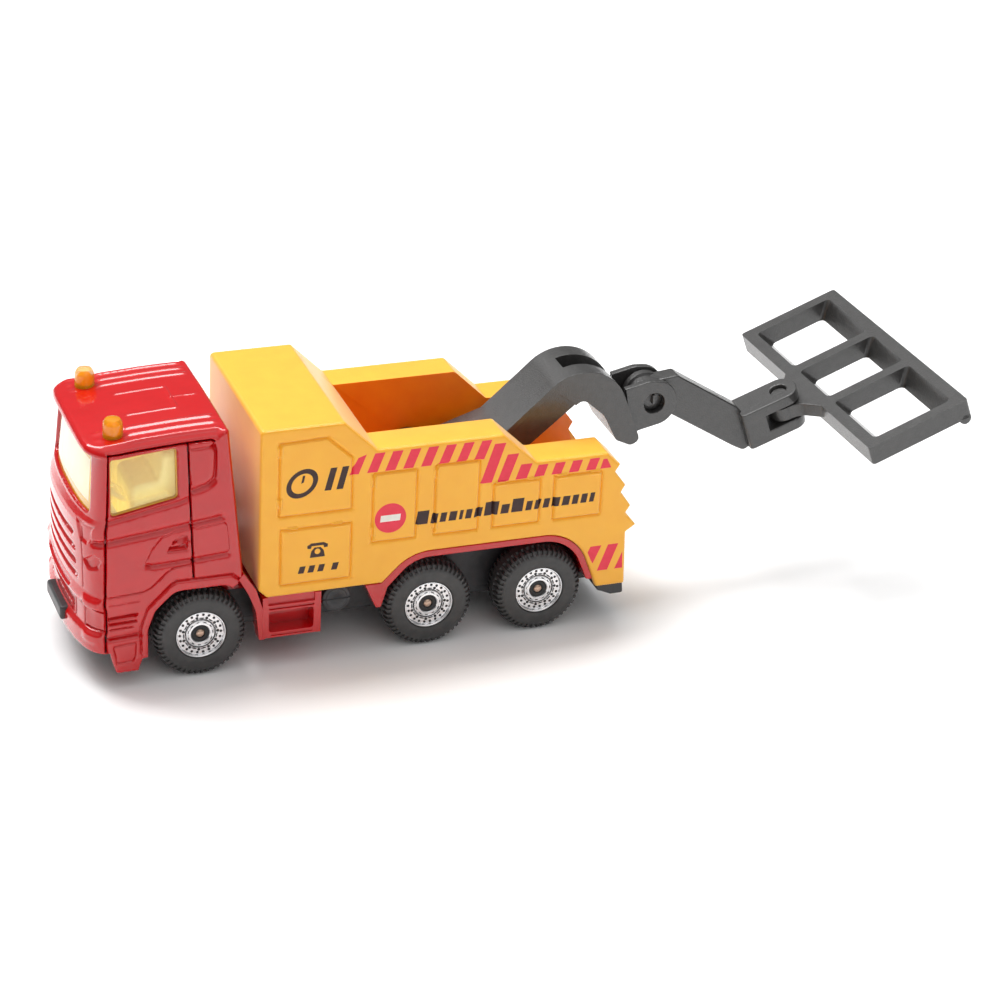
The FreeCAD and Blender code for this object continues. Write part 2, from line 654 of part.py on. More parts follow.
def local_slab(name, points, bottom, top, yaw=0.0):
    """A slab drawn in the lifting frame's plane, from bottom to top above its top face."""
    piece = slab(name, "XY_Plane", points, f"{top} - ( {bottom} )", symmetric=False)
    holder = doc.addObject("Part::Compound", name + "_level")
    holder.Links = [piece]
    bind(piece, Placement__Base__z=bottom)
    return tilted(holder, yaw)


def local_rod(name, radius, bottom, height):
    """A round rod on the swing pin's line."""
    rod = doc.addObject("Part::Cylinder", name)
    bind(rod, Radius=radius, Height=height, Placement__Base__z=bottom)
    holder = doc.addObject("Part::Compound", name + "_level")
    holder.Links = [rod]
    return tilted(holder, 0.0)


clevis = local_slab("clevis", CLEVIS_PLAN, "clevis_bottom", "clevis_top")
clevis_slot = local_slab("clevis_slot", [(-3.6, 4.0), (6.0, 4.0), (6.0, -4.0), (-3.6, -4.0)],
                         "slot_bottom", "slot_top")
swing_hole = local_rod("swing_hole", "swing_hole_radius", "clevis_bottom - 1",
                       "clevis_top - clevis_bottom + 2")
arm_blank = fuse("arm_blank", [arm_bar, tongue, fold_pins, clevis])
finished("arm", cut("arm_body", arm_blank, [clevis_slot, swing_hole]))

# ---- lifting frame ---------------------------------------------------------------------------

near = size("frame_near_edge")
far = near + size("frame_reach")
half = size("frame_half_width")
rail = size("frame_rail")
middle_half = size("middle_window_half_width")
draft = size("window_draft")
overcut = size("window_overcut")
yaw = size("frame_yaw")
frame_plate = local_slab("frame_plate", [(near, -half), (far, -half), (far, half), (near, half)],
                         "-1 * frame_thickness", "0", yaw)
TONGUE_PLAN = [(-2.5, -2.5, 2.4), (1.6, -2.5, 1.5), (near + 0.2, -5.8), (near + 0.2, 5.8),
               (1.6, 2.5, 1.5), (-2.5, 2.5, 2.4)]
frame_tongue = local_slab("frame_tongue", TONGUE_PLAN, "-1 * frame_tongue_thickness", "0", yaw)
frame_pins = local_rod("frame_pins", "swing_hole_radius - pivot_clearance", "swing_pin_bottom",
                       "swing_pin_length")
outer_lip = doc.addObject("Part::Cylinder", "outer_lip")
bind(outer_lip, Radius="lip_radius", Height="2 * frame_half_width",
     Placement__Base__x="frame_near_edge + frame_reach - lip_radius",
     Placement__Base__y="-1 * frame_half_width",
     Placement__Base__z="-1 * ( frame_thickness + lip_drop )")
outer_lip.Placement = Placement(outer_lip.Placement.Base, Rotation(Vector(1, 0, 0), -90))
lip_level = doc.addObject("Part::Compound", "outer_lip_level")
lip_level.Links = [outer_lip]
tilted(lip_level, yaw)
windows = []
for word, low, high in (("right", -half + rail, -middle_half - rail),
                        ("middle", -middle_half, middle_half),
                        ("left", middle_half + rail, half - rail)):
    top_ring = [Vector(near + rail, low, overcut), Vector(far - rail, low, overcut),
                Vector(far - rail, high, overcut), Vector(near + rail, high, overcut)]
    depth = -size("frame_thickness") - overcut
    low_ring = [Vector(near + rail + draft, low, depth), Vector(far - rail - draft, low, depth),
                Vector(far - rail - draft, high, depth), Vector(near + rail + draft, high, depth)]
    wires = [Part.makePolygon(ring + ring[:1]) for ring in (top_ring, low_ring)]
    window = doc.addObject("Part::Feature", f"{word}_frame_window")
    window.Shape = Part.makeLoft(wires, True, True)
    windows.append(tilted(window, yaw))
frame_blank = fuse("frame_blank", [frame_plate, frame_tongue, frame_pins, lip_level])
finished("lifting_frame", cut("frame_body", frame_blank, windows))

# ---- checks and export -------------------------------------------------------------------------

doc.recompute()
faults = [item.Label for item in doc.Objects
          if {"Invalid", "Error"} & set(item.State)]
for label, thing in parts.items():
    shape = thing.Shape
    if shape.isNull() or not shape.isValid() or shape.Volume <= 0:
        faults.append(label)
if faults:
    raise RuntimeError(f"not built: {sorted(set(faults))}")
os.makedirs("parts", exist_ok=True)
for label, thing in parts.items():
    thing.Shape.exportStep(f"parts/{label}.step")
    bounds = thing.Shape.BoundBox
    print(f"{label}: {len(thing.Shape.Solids)} solid(s), {thing.Shape.Volume:.1f} mm3, "
          f"x {bounds.XMin:.2f}..{bounds.XMax:.2f}, y {bounds.YMin:.2f}..{bounds.YMax:.2f}, "
          f"z {bounds.ZMin:.2f}..{bounds.ZMax:.2f}")
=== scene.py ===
import math
import bmesh
import bpy
import numpy as np
from mathutils import Matrix, Vector
from mathutils.geometry import delaunay_2d_cdt


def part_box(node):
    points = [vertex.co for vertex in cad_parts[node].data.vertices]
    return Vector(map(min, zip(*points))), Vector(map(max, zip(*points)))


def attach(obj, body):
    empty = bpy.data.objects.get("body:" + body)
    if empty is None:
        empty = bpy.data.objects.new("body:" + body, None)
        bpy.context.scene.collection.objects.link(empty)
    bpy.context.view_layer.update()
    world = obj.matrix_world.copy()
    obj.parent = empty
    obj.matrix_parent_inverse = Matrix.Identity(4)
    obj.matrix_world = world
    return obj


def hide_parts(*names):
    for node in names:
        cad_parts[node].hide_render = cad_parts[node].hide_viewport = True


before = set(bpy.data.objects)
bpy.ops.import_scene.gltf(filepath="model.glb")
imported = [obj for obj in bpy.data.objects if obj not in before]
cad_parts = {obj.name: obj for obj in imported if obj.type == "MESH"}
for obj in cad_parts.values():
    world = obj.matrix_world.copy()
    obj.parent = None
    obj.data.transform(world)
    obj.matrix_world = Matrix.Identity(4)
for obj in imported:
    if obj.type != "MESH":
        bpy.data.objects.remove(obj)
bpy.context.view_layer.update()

# Shapes are written in millimetres as (distance behind the front axle, side, height), with
# +side on the truck's left; to_frame turns them into the frame's metres.
MM = 0.001


def centre(node):
    low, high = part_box(node)
    return (Vector(low) + Vector(high)) / (2 * MM)


FRONT_AXLE_X = centre("front_axle").x
AXLE_HEIGHT = centre("front_axle").z
AXLE_BACKS = {name: FRONT_AXLE_X - centre(f"{name}_axle").x for name in ("front", "middle", "rear")}


def to_frame(points):
    points = np.asarray(points, dtype=float)
    return np.column_stack((FRONT_AXLE_X - points[:, 0], points[:, 1], points[:, 2])) * MM


# ---- materials ---------------------------------------------------------------------------------


def linear(red, green, blue):
    """An sRGB colour, 0 to 255, as a linear one."""
    parts = [value / 255 for value in (red, green, blue)]
    return tuple(v / 12.92 if v <= 0.04045 else ((v + 0.055) / 1.055) ** 2.4 for v in parts)


def node(tree, kind, settings=()):
    """A new shader node with these input values."""
    made = tree.nodes.new(f"ShaderNode{kind}")
    for socket, value in dict(settings).items():
        made.inputs[socket].default_value = value
    return made


def wire(tree, *links):
    """Join nodes by (from, its output, to, its input)."""
    for source, output, target, socket in links:
        tree.links.new(source.outputs[output], target.inputs[socket])


def material(name, colour, dark, roughness, settings=(), blotch=900.0, grain=9000.0, bump=0.02,
        rough_range=0.06):
    """A Principled surface whose colour drifts between two tones, with fine grain in its
    gloss and its height.  blotch and grain are noise scales per metre, bump is in mm."""
    surface = bpy.data.materials.new(name)
    surface.use_nodes = True
    tree = surface.node_tree
    shader = tree.nodes["Principled BSDF"]
    for socket, value in dict(settings).items():
        shader.inputs[socket].default_value = value
    place = node(tree, "TexCoord")
    drift = node(tree, "TexNoise", {"Scale": blotch, "Detail": 4.0})
    fine = node(tree, "TexNoise", {"Scale": grain, "Detail": 3.0})
    tones = node(tree, "ValToRGB")
    for stop, position, tone in zip(tones.color_ramp.elements, (0.3, 0.7), (dark, colour)):
        stop.position = position
        stop.color = (*linear(*tone), 1)
    gloss = node(tree, "MapRange", {"To Min": max(0.0, roughness - rough_range),
        "To Max": roughness + rough_range})
    height = node(tree, "Bump", {"Strength": 0.5, "Distance": bump * MM})
    wire(tree, (place, "Object", drift, "Vector"), (place, "Object", fine, "Vector"),
        (drift, "Fac", tones, "Fac"), (tones, "Color", shader, "Base Color"),
        (fine, "Fac", gloss, "Value"), (gloss, "Result", shader, "Roughness"),
        (fine, "Fac", height, "Height"), (height, "Normal", shader, "Normal"))
    return surface


RED = material("red_enamel", (197, 4, 12), (189, 3, 9), 0.2, {"Specular IOR Level": 0.3,
    "Coat Weight": 0.8, "Coat Roughness": 0.03, "Coat IOR": 1.55}, blotch=400.0, grain=2500.0,
    bump=0.008)
# painted shade: a dark red for the narrow door gaps and the roof gutter, standing in for the shade
# inside those grooves
GAP_SHADE = material("red_enamel_gap_shade", (70, 6, 12), (52, 4, 8), 0.35, bump=0.008)
RED_PRINT = material("red_print", (236, 52, 76), (228, 46, 68), 0.4, {"Specular IOR Level": 0.4},
    bump=0.01)
DARK_PRINT = material("dark_print", (58, 30, 26), (44, 22, 20), 0.4, {"Specular IOR Level": 0.4},
    bump=0.01)
WHITE_PRINT = material("white_print", (240, 236, 228), (232, 226, 216), 0.4, bump=0.01)
YELLOW = material("yellow_plastic", (251, 180, 30), (248, 174, 25), 0.4,
    {"Subsurface Weight": 0.12, "Subsurface Radius": (0.6, 0.35, 0.08), "Subsurface Scale": 0.0012,
    "Coat Weight": 0.2, "Coat Roughness": 0.25, "Sheen Weight": 0.3, "Sheen Roughness": 0.5},
    blotch=350.0, grain=6000.0, bump=0.012)
# painted shade and bounced light: a deeper, more saturated orange for the tub's inside, standing in for
# the shaded tub lit by light bouncing within it
TUB_PAINTED_SHADE = material("yellow_plastic_tub_painted_shade", (255, 136, 6), (250, 126, 4), 0.4,
    {"Subsurface Weight": 0.12, "Subsurface Radius": (0.6, 0.3, 0.05), "Subsurface Scale": 0.0012},
    blotch=350.0, grain=6000.0, bump=0.012)
BLACK = material("black_plastic", (50, 49, 48), (38, 37, 36), 0.38,
    {"Specular IOR Level": 0.8, "Coat Weight": 0.5, "Coat Roughness": 0.14}, bump=0.15, grain=4500.0,
    rough_range=0.1)
BASE = material("dark_plastic", (58, 58, 60), (46, 46, 48), 0.4, bump=0.04, grain=6000.0)
TYRE = material("tyre", (68, 67, 66), (56, 55, 55), 0.45, bump=0.03, grain=8000.0)
SILVER = material("silver_rim", (242, 242, 243), (230, 230, 232), 0.2, {"Metallic": 0.9}, bump=0.01,
    grain=5000.0)
INK = material("black_ink", (22, 22, 24), (16, 16, 18), 0.4, bump=0.01)
STEEL = material("steel", (206, 178, 158), (190, 160, 140), 0.3, {"Metallic": 0.85}, bump=0.02,
    grain=4000.0)
# painted light: the cream plastic is given a faint glow, brightening the cab's inside where little
# light reaches
CREAM = material("cream_plastic", (236, 222, 158), (226, 210, 142), 0.45,
    {"Subsurface Weight": 0.1, "Subsurface Scale": 0.001, "Emission Color": (0.8, 0.7, 0.3, 1),
    "Emission Strength": 0.42}, bump=0.02)


def clear_material(name, colour, edge, alpha, coat=1.0):
    """Tinted clear plastic, thin enough to see the cab's inside through it."""
    return material(name, colour, edge, 0.12, {"Alpha": alpha, "Coat Weight": coat,
        "Coat Roughness": 0.03}, blotch=200.0, grain=500.0, bump=0.0005, rough_range=0.03)


GLAZING = clear_material("amber_clear_glazing", (255, 240, 160), (252, 232, 140), 0.1)
SCREEN = clear_material("amber_clear_screen", (255, 249, 208), (254, 244, 196), 0.8)
AMBER_EDGE = clear_material("amber_clear_edge", (234, 182, 30), (214, 152, 18), 0.9)
BEACON = clear_material("amber_clear_beacon", (250, 196, 12), (222, 156, 6), 0.62, 0.6)
AMBER_BASE = material("amber_clear_base", (150, 96, 12), (116, 70, 8), 0.2, {"Coat Weight": 0.6},
    bump=0.005)
# painted light: the beacon's bulb is given a faint orange glow, though it is no lamp
BULB = material("amber_clear_bulb", (255, 112, 6), (244, 92, 4), 0.3,
    {"Emission Color": (1.0, 0.22, 0.02, 1), "Emission Strength": 0.35}, bump=0.01)
FLOOR = material("studio_floor", (250, 250, 250), (247, 247, 247), 0.7, {"Specular IOR Level": 0.2},
    blotch=30.0, grain=400.0, bump=0.02)

# ---- outlines ------------------------------------------------------------------------------------


def rounded(points, step=0.3):
    """A closed outline as plain points, with an arc at each corner that gives a radius."""
    result = []
    count = len(points)
    for i, point in enumerate(points):
        corner = np.array(point[:2], dtype=float)
        radius = point[2] if len(point) > 2 else 0
        if not radius:
            result.append(tuple(corner))
            continue
        before = np.array(points[i - 1][:2]) - corner
        after = np.array(points[(i + 1) % count][:2]) - corner
        before = before / np.linalg.norm(before)
        after = after / np.linalg.norm(after)
        half_angle = math.acos(np.clip(before @ after, -1, 1)) / 2
        bisector = before + after
        middle = corner + bisector / np.linalg.norm(bisector) * radius / math.sin(half_angle)
        start = corner + before * radius / math.tan(half_angle) - middle
        sweep = math.pi - 2 * half_angle
        turn = 1 if before[0] * after[1] - before[1] * after[0] < 0 else -1
        pieces = max(3, math.ceil(sweep * radius / step))
        for k in range(pieces + 1):
            angle = turn * sweep * k / pieces
            cosine, sine = math.cos(angle), math.sin(angle)
            result.append((middle[0] + start[0] * cosine - start[1] * sine,
                middle[1] + start[0] * sine + start[1] * cosine))
    return result


def circle(a, b, radius, count=24):
    return [(a + radius * math.cos(math.tau * k / count), b + radius * math.sin(math.tau * k / count))
        for k in range(count)]


def dense(path, step, closed=True):
    """The path with points added, so that no stretch is longer than the step."""
    result = []
    ends = list(path) + ([path[0]] if closed else [])
    for start, end in zip(ends, ends[1:]):
        start, end = np.array(start[:2], dtype=float), np.array(end[:2], dtype=float)
        pieces = max(1, math.ceil(np.linalg.norm(end - start) / step))
        result += [start + (end - start) * k / pieces for k in range(pieces)]
    if not closed:
        result.append(np.array(ends[-1][:2], dtype=float))
    return np.array(result)


def line_distance(path, points, closed=False):
    """How far each point lies from a path."""
    path = np.asarray([p[:2] for p in path], dtype=float)
    ends = np.vstack((path[1:], path[:1])) if closed else path[1:]
    starts = path if closed else path[:-1]
    nearest = np.full(len(points), np.inf)
    for start, end in zip(starts, ends):
        along = end - start
        length = along @ along
        if length < 1e-12:
            continue
        place = np.clip((points - start) @ along / length, 0, 1)
        nearest = np.minimum(nearest, np.linalg.norm(points - start - place[:, None] * along, axis=1))
    return nearest


def inside(path, points):
    """Which points lie inside a closed path."""
    path = np.asarray([p[:2] for p in path], dtype=float)
    found = np.zeros(len(points), dtype=bool)
    for (a0, b0), (a1, b1) in zip(path, np.roll(path, -1, axis=0)):
        if b0 == b1:
            continue
        crosses = (b0 > points[:, 1]) != (b1 > points[:, 1])
        meets = a0 + (points[:, 1] - b0) * (a1 - a0) / (b1 - b0)
        found ^= crosses & (points[:, 0] < meets)
    return found


def depth_inside(path, points):
    """Distance from a closed path, positive inside it."""
    return np.where(inside(path, points), 1, -1) * line_distance(path, points, closed=True)


def ease(value, low, high):
    """0 below low, 1 above high, and a smooth S between them."""
    t = np.clip((value - low) / (high - low), 0, 1)
    return t * t * (3 - 2 * t)


def edge_drop(distance, radius):
    """How far a rounded edge falls below its face, this far from the edge."""
    inward = np.clip(radius - distance, 0, radius)
    return radius - np.sqrt(radius * radius - inward * inward)


# ---- meshes --------------------------------------------------------------------------------------


WELD = 3e-7


def piece(name, points, faces, materials, kinds=None, smooth=32.0):
    """A mesh object from (back, side, height) points; kinds gives each face's material."""
    mesh = bpy.data.meshes.new(name)
    mesh.from_pydata(to_frame(points).tolist(), [], [list(map(int, face)) for face in faces])
    for each in materials:
        mesh.materials.append(each)
    if kinds is not None:
        mesh.polygons.foreach_set("material_index", np.asarray(kinds, dtype=np.int32))
    form = bmesh.new()
    form.from_mesh(mesh)
    bmesh.ops.remove_doubles(form, verts=form.verts, dist=WELD)
    bmesh.ops.delete(form, geom=[edge for edge in form.edges if not edge.link_faces], context="EDGES")
    bmesh.ops.recalc_face_normals(form, faces=form.faces)
    form.to_mesh(mesh)
    form.free()
    thing = bpy.data.objects.new(name, mesh)
    bpy.context.scene.collection.objects.link(thing)
    soften(thing, smooth)
    return thing


def soften(thing, angle):
    thing.data.shade_smooth()
    thing.data.set_sharp_from_angle(angle=math.radians(angle))


def settle(thing):
    """Turn the object's modifiers into its mesh."""
    view = bpy.context.evaluated_depsgraph_get()
    mesh = bpy.data.meshes.new_from_object(thing.evaluated_get(view))
    old = thing.data
    thing.modifiers.clear()
    thing.data = mesh
    bpy.data.meshes.remove(old)
    return thing


def cut_away(thing, tools):
    """The object with each tool cut away; the tools are used up."""
    for tool in tools:
        step = thing.modifiers.new("cut", "BOOLEAN")
        step.object = tool
        step.operation = "DIFFERENCE"
        step.solver = "EXACT"
    settle(thing)
    for tool in tools:
        mesh = tool.data
        bpy.data.objects.remove(tool)
        bpy.data.meshes.remove(mesh)
    return thing


def bevel(thing, width, segments=3, angle=30.0):
    """Round every edge sharper than the angle."""
    step = thing.modifiers.new("edge", "BEVEL")
    step.width = width * MM
    step.segments = segments
    step.limit_method = "ANGLE"
    step.angle_limit = math.radians(angle)
    step.use_clamp_overlap = True
    settle(thing)
    soften(thing, 32)
    return flat_faces(thing)


def flat_faces(thing):
    """Let the large faces keep their own shading, so that only the rounded edges blend."""
    step = thing.modifiers.new("flat_faces", "WEIGHTED_NORMAL")
    step.keep_sharp = True
    step.weight = 92
    return settle(thing)


def joined(name, things):
    """Several objects made into one."""
    base = things[0]
    with bpy.context.temp_override(active_object=base, object=base, selected_objects=things,
            selected_editable_objects=things):
        bpy.ops.object.join()
    base.name = name
    base.data.name = name
    return base


def ends_and_walls(count):
    """Faces of a closed solid whose points are two matching loops of this many points."""
    walls = [(i, (i + 1) % count, count + (i + 1) % count, count + i) for i in range(count)]
    return [range(count), range(count, 2 * count)] + walls


def prism(name, outline, low, high, plane, surface, step=0.3):
    """A closed prism from low to high.  plane says what the outline's two numbers are: side is
    (back, height) and plan is (back, side)."""
    path = np.array(rounded(outline, step))
    across = {"side": 1, "plan": 2}[plane]
    points = np.vstack([np.insert(path, across, end, axis=1) for end in (low, high)])
    return piece(name, points, ends_and_walls(len(path)), [surface])


def block(name, backs, sides, heights, surface):
    corners = [(backs[0], heights[0]), (backs[1], heights[0]), (backs[1], heights[1]),
        (backs[0], heights[1])]
    return prism(name, corners, *sides, "side", surface)


def ringed(name, rings, surface, smooth=32.0):
    """A closed piece through matching rings of points, the last ring joined to the first."""
    size, total = len(rings[0]), len(rings)
    faces = [(k * size + i, k * size + (i + 1) % size, (k + 1) % total * size + (i + 1) % size,
        (k + 1) % total * size + i) for k in range(total) for i in range(size)]
    return piece(name, np.vstack(rings), faces, [surface], smooth=smooth)


def turned(name, profile, surface, middle, count=64, upright=False):
    """A closed profile of (radius, place along the line) turned about a line.  The line lies
    across the truck through (back, height), or is upright through (back, side)."""
    radius, along = np.array(profile, dtype=float).T
    rings = []
    for k in range(count):
        angle = math.tau * k / count
        ring = [middle[0] + radius * math.cos(angle), middle[1] + radius * math.sin(angle)]
        ring.insert(2 if upright else 1, along)
        rings.append(np.column_stack(ring))
    return ringed(name, rings, surface)


# profiles start and end this close to the line they turn about
AXIS = 0.0001


def rod(name, middle, radius, low, high, surface, edge=0.1):
    """A solid rod across the truck with slightly rounded ends."""
    half = [(AXIS, low), (radius - edge, low), (radius - edge * 0.3, low + edge * 0.3),
        (radius, low + edge)]
    profile = half + [(r, low + high - along) for r, along in reversed(half)]
    return turned(name, profile, surface, middle, 40)


def finish_piece(name, things, body, slot, *nodes):
    """Make the things one piece, let it ride its body, and hide the model's parts it stands in for;
    slot is not used.
    """
    thing = joined(name, things) if len(things) > 1 else things[0]
    thing.name = thing.data.name = name
    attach(thing, body)
    if nodes:
        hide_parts(*nodes)


# ---- relief sheets: fine triangulated outlines that a height rule then shapes ------------------


def inset(points, distance):
    """A closed outline with every edge moved inwards."""
    corners = np.array(points, dtype=float)
    ends = np.roll(corners, -1, axis=0)
    turn = 1 if np.sum(corners[:, 0] * ends[:, 1] - ends[:, 0] * corners[:, 1]) > 0 else -1
    along = ends - corners
    after = turn * np.column_stack((-along[:, 1], along[:, 0]))
    after /= np.linalg.norm(along, axis=1)[:, None]
    both = after + np.roll(after, 1, axis=0)
    return corners + both * 2 * distance / np.sum(both * both, axis=1)[:, None]


def beside(path, offsets, closed):
    """Points alongside a path, at each offset to its left and right."""
    ends = np.vstack((path[1:], path[:1])) if closed else path[1:]
    starts = path if closed else path[:-1]
    along = ends - starts
    along = along / np.maximum(np.linalg.norm(along, axis=1), 1e-9)[:, None]
    across = np.column_stack((-along[:, 1], along[:, 0]))
    return np.vstack([(starts + ends) / 2 + offset * across for offset in offsets])


# how far beside the edges and the lines the rows of points run, in mm
RINGS = (0.06, 0.16, 0.3, 0.5)
GROOVE_ROWS = (-0.5, -0.3, -0.18, -0.08, 0.0, 0.08, 0.18, 0.3, 0.5)
# loose points keep this far from the borders
BORDER_GAP = 0.045


def closed_links(start, count):
    """Links round a loop of points numbered from start."""
    return [(start + i, start + (i + 1) % count) for i in range(count)]


def thinned(groups, cell):
    """The groups' points, less those that share a cell of this size."""
    points = np.vstack(groups)
    chosen = np.unique(np.round(points / cell).astype(int), axis=0, return_index=True)[1]
    return points[np.sort(chosen)]


def sheet(outline, holes=(), lines=(), prints=(), grid=0.6, edge=0.35, rings=RINGS):
    """Triangles over an outline less its holes: (points, triangles, kinds).  Points run close
    beside every edge and line, so that a height rule can round and groove them.  prints is a
    list of (outline, kind), and triangles inside one take its kind."""
    loops = [dense(loop, edge) for loop in [outline] + list(holes)]
    borders = loops + [dense(path, edge) for path, kind in prints]
    fixed = np.vstack(borders)
    links = []
    for loop in borders:
        links += closed_links(len(links), len(loop))

    def within(points):
        keep = inside(loops[0], points)
        for loop in loops[1:]:
            keep &= ~inside(loop, points)
        return keep

    both = tuple(rings) + tuple(-ring for ring in rings)
    extra = [beside(loop, both, True) for loop in loops if both]
    extra += [beside(dense(line, edge, False), GROOVE_ROWS, False) for line in lines]
    low, high = fixed.min(axis=0), fixed.max(axis=0)
    across, up = np.meshgrid(np.arange(low[0], high[0], grid), np.arange(low[1], high[1], grid))
    up[:, ::2] += grid / 2
    extra = thinned(extra + [np.column_stack((across.ravel(), up.ravel()))], 0.05)
    extra = extra[within(extra)]
    clear = np.min([line_distance(loop, extra, True) for loop in borders], axis=0)
    everything = np.vstack((fixed, extra[clear > BORDER_GAP]))
    found = delaunay_2d_cdt([Vector(p) for p in everything], links, [], 0, 1e-6)
    points = np.array([tuple(p) for p in found[0]])
    triangles = np.array([face for face in found[2] if len(face) == 3])
    triangles = triangles[within(points[triangles].mean(axis=1))]
    middles = points[triangles].mean(axis=1)
    kinds = np.zeros(len(triangles), dtype=int)
    for path, kind in prints:
        kinds[inside(path, middles)] = kind
    used = np.unique(triangles)
    renumber = np.full(len(points), -1)
    renumber[used] = np.arange(len(used))
    return points[used], renumber[triangles], kinds


def rim_edges(triangles):
    """The directed edges that only one triangle has."""
    edges = np.vstack((triangles[:, [0, 1]], triangles[:, [1, 2]], triangles[:, [2, 0]]))
    there = {tuple(pair) for pair in edges.tolist()}
    return [pair for pair in edges.tolist() if (pair[1], pair[0]) not in there]


def backing(outline, holes=(), grid=2.0):
    """The same outline triangulated plainly, for the hidden back of a sheet."""
    return sheet(outline, holes, grid=grid, rings=())


def walls_between(front, triangles, rear, count, skip=lambda a, b: False):
    """Faces that join two sheets' matching rims; the rear's points are numbered from count."""
    there = {tuple(np.round(point, 4)): index for index, point in enumerate(rear)}
    walls = []
    for a, b in rim_edges(triangles):
        if not skip(a, b):
            c, d = (there[tuple(np.round(front[index], 4))] for index in (b, a))
            walls.append((a, b, c + count, d + count))
    return walls


def shell(name, front, outer, rear, inner, surfaces, smooth=32.0):
    """A closed piece.  front and rear are (points, triangles, kinds) over the same outline;
    outer and inner are where their points stand."""
    points, triangles, kinds = front
    rear_points, rear_triangles, rear_kinds = rear
    count = len(outer)
    walls = walls_between(points, triangles, rear_points, count)
    faces = triangles.tolist() + (rear_triangles[:, ::-1] + count).tolist() + walls
    tags = np.concatenate((kinds, rear_kinds, np.zeros(len(walls), dtype=int)))
    return piece(name, np.vstack((outer, inner)), faces, surfaces, tags, smooth)


# ---- superstructure ------------------------------------------------------------------------------

BODY_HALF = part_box("superstructure")[1][1] / MM
BODY_SKIN = 1.2
TUB_HALF = 8.0
BOOM_PIVOT = (36.0, 21.6)
BODY_SIDE = [(8.0, 12.6, 0.4), (8.0, 37.2, 0.7), (19.9, 37.2, 0.7), (24.7, 32.5, 0.7),
    (43.2, 32.5, 0.7), (48.2, 27.7, 0.7), (59.0, 27.7, 0.4), (61.1, 25.6, 0.15), (60.4, 24.5, 0.15),
    (62.1, 22.2, 0.15), (61.5, 21.1, 0.15), (63.1, 18.8, 0.15), (62.4, 17.7, 0.15), (64.1, 15.6, 0.15),
    (62.6, 14.6, 0.15), (62.9, 6.2, 0.3), (58.5, 6.2, 0.3), (54.9, 15.6, 7.0), (30.2, 15.6, 7.0),
    (26.0, 11.4, 0.4), (9.2, 11.4, 0.4)]
ROOM_SIDE = [(9.2, 0.0), (9.2, 36.0), (19.4, 36.0), (24.2, 31.3), (42.7, 31.3), (47.7, 26.5),
    (57.6, 26.5), (61.4, 14.6), (61.7, 6.0), (61.7, 0.0)]
TUB_SIDE = [(25.4, 17.0, 0.8), (24.9, 32.3), (19.7, 37.4), (19.7, 40.0), (70.0, 40.0), (70.0, 17.0)]
TUB_SHELL_SIDE = [(24.0, 15.75), (23.6, 31.9), (19.7, 35.4), (19.7, 40.0), (70.0, 40.0), (70.0, 15.75)]
# the lockers' outlines, and each hinge as (back, height, lies flat)
LOCKERS = [[(10.7, 35.0), (17.5, 35.2), (21.1, 31.8), (21.2, 23.8), (10.7, 23.8)],
    [(11.0, 21.7), (21.2, 21.7), (21.2, 13.1), (11.0, 13.1)], [(24.2, 28.8), (30.6, 28.8), (30.6, 18.1),
    (24.2, 18.1)], [(33.3, 29.0), (39.8, 29.0), (39.8, 18.1), (33.3, 18.1)],
    [(42.0, 25.0), (49.0, 25.0), (49.0, 18.1), (42.0, 18.1)], [(51.1, 25.0), (58.3, 25.0), (58.3, 18.1),
    (51.1, 18.1)]]
HINGES = [(10.7, 33.8, False), (10.7, 25.9, False), (12.7, 21.7, True), (19.1, 21.7, True),
    (24.2, 27.6, False), (24.2, 20.0, False), (33.3, 27.8, False), (33.3, 20.0, False),
    (43.0, 25.0, True), (47.8, 25.0, True), (52.2, 25.0, True), (57.2, 25.0, True)]
LOCKS = [(45.5, 19.3), (54.7, 19.3)]


# what a mark's faces are made of: the body's own plastic or one of the printed inks
PLAIN, RED_MARK, DARK_MARK, WHITE_MARK = range(4)


def bar(back, low, high, width, lean):
    """A slanted bar; lean is how far its top stands behind its foot."""
    return [(back, low), (back + width, low), (back + width + lean, high), (back + lean, high)]


def hazard_bars():
    """The red warning bars along the sides: (outline, kind)."""
    pitch, width = 2.6, 1.5
    red = [[(20.6, 29.1), (22.0, 29.1), (23.1, 32.0), (21.9, 31.6)]]
    red += [bar(20.6 + k * pitch, 29.1, 32.0, width, 1.1) for k in range(1, 8)]
    red += [bar(back, 25.3, top, 1.7, lean) for back, top, lean in ((39.9, 31.3, 1.9),
        (42.4, 29.4, 1.4), (45.1, 27.6, 0.8))]
    red += [bar(47.9 + k * pitch, 25.4, 27.2, width, 0.6) for k in range(4)]
    red += [[(57.9, 25.4), (59.6, 25.4), (58.9, 26.9), (58.3, 26.9)],
        [(57.2, 13.0), (58.9, 13.0), (57.7, 10.2), (57.35, 10.8), (56.8, 12.1)],
        bar(58.4, 8.9, 13.0, 1.6, 1.5), [(61.1, 8.9), (62.35, 8.9), (62.2, 11.6)]]
    return [(path, RED_MARK) for path in red]


def clock_mark(back, height, radius):
    """A dial with two hands, leaning like the other marks: dark ring, open face."""
    ring, face = ([(a + 0.25 * (b - height), b) for a, b in circle(back, height, reach,
        count)] for reach, count in ((radius, 36), (radius * 0.68, 30)))
    hand = [(back - 0.16, height), (back + 0.22, height + 0.16), (back + 0.42, height + 1.2),
        (back + 0.08, height + 1.2)]
    return [(ring, DARK_MARK), (face, PLAIN), (hand, DARK_MARK)]


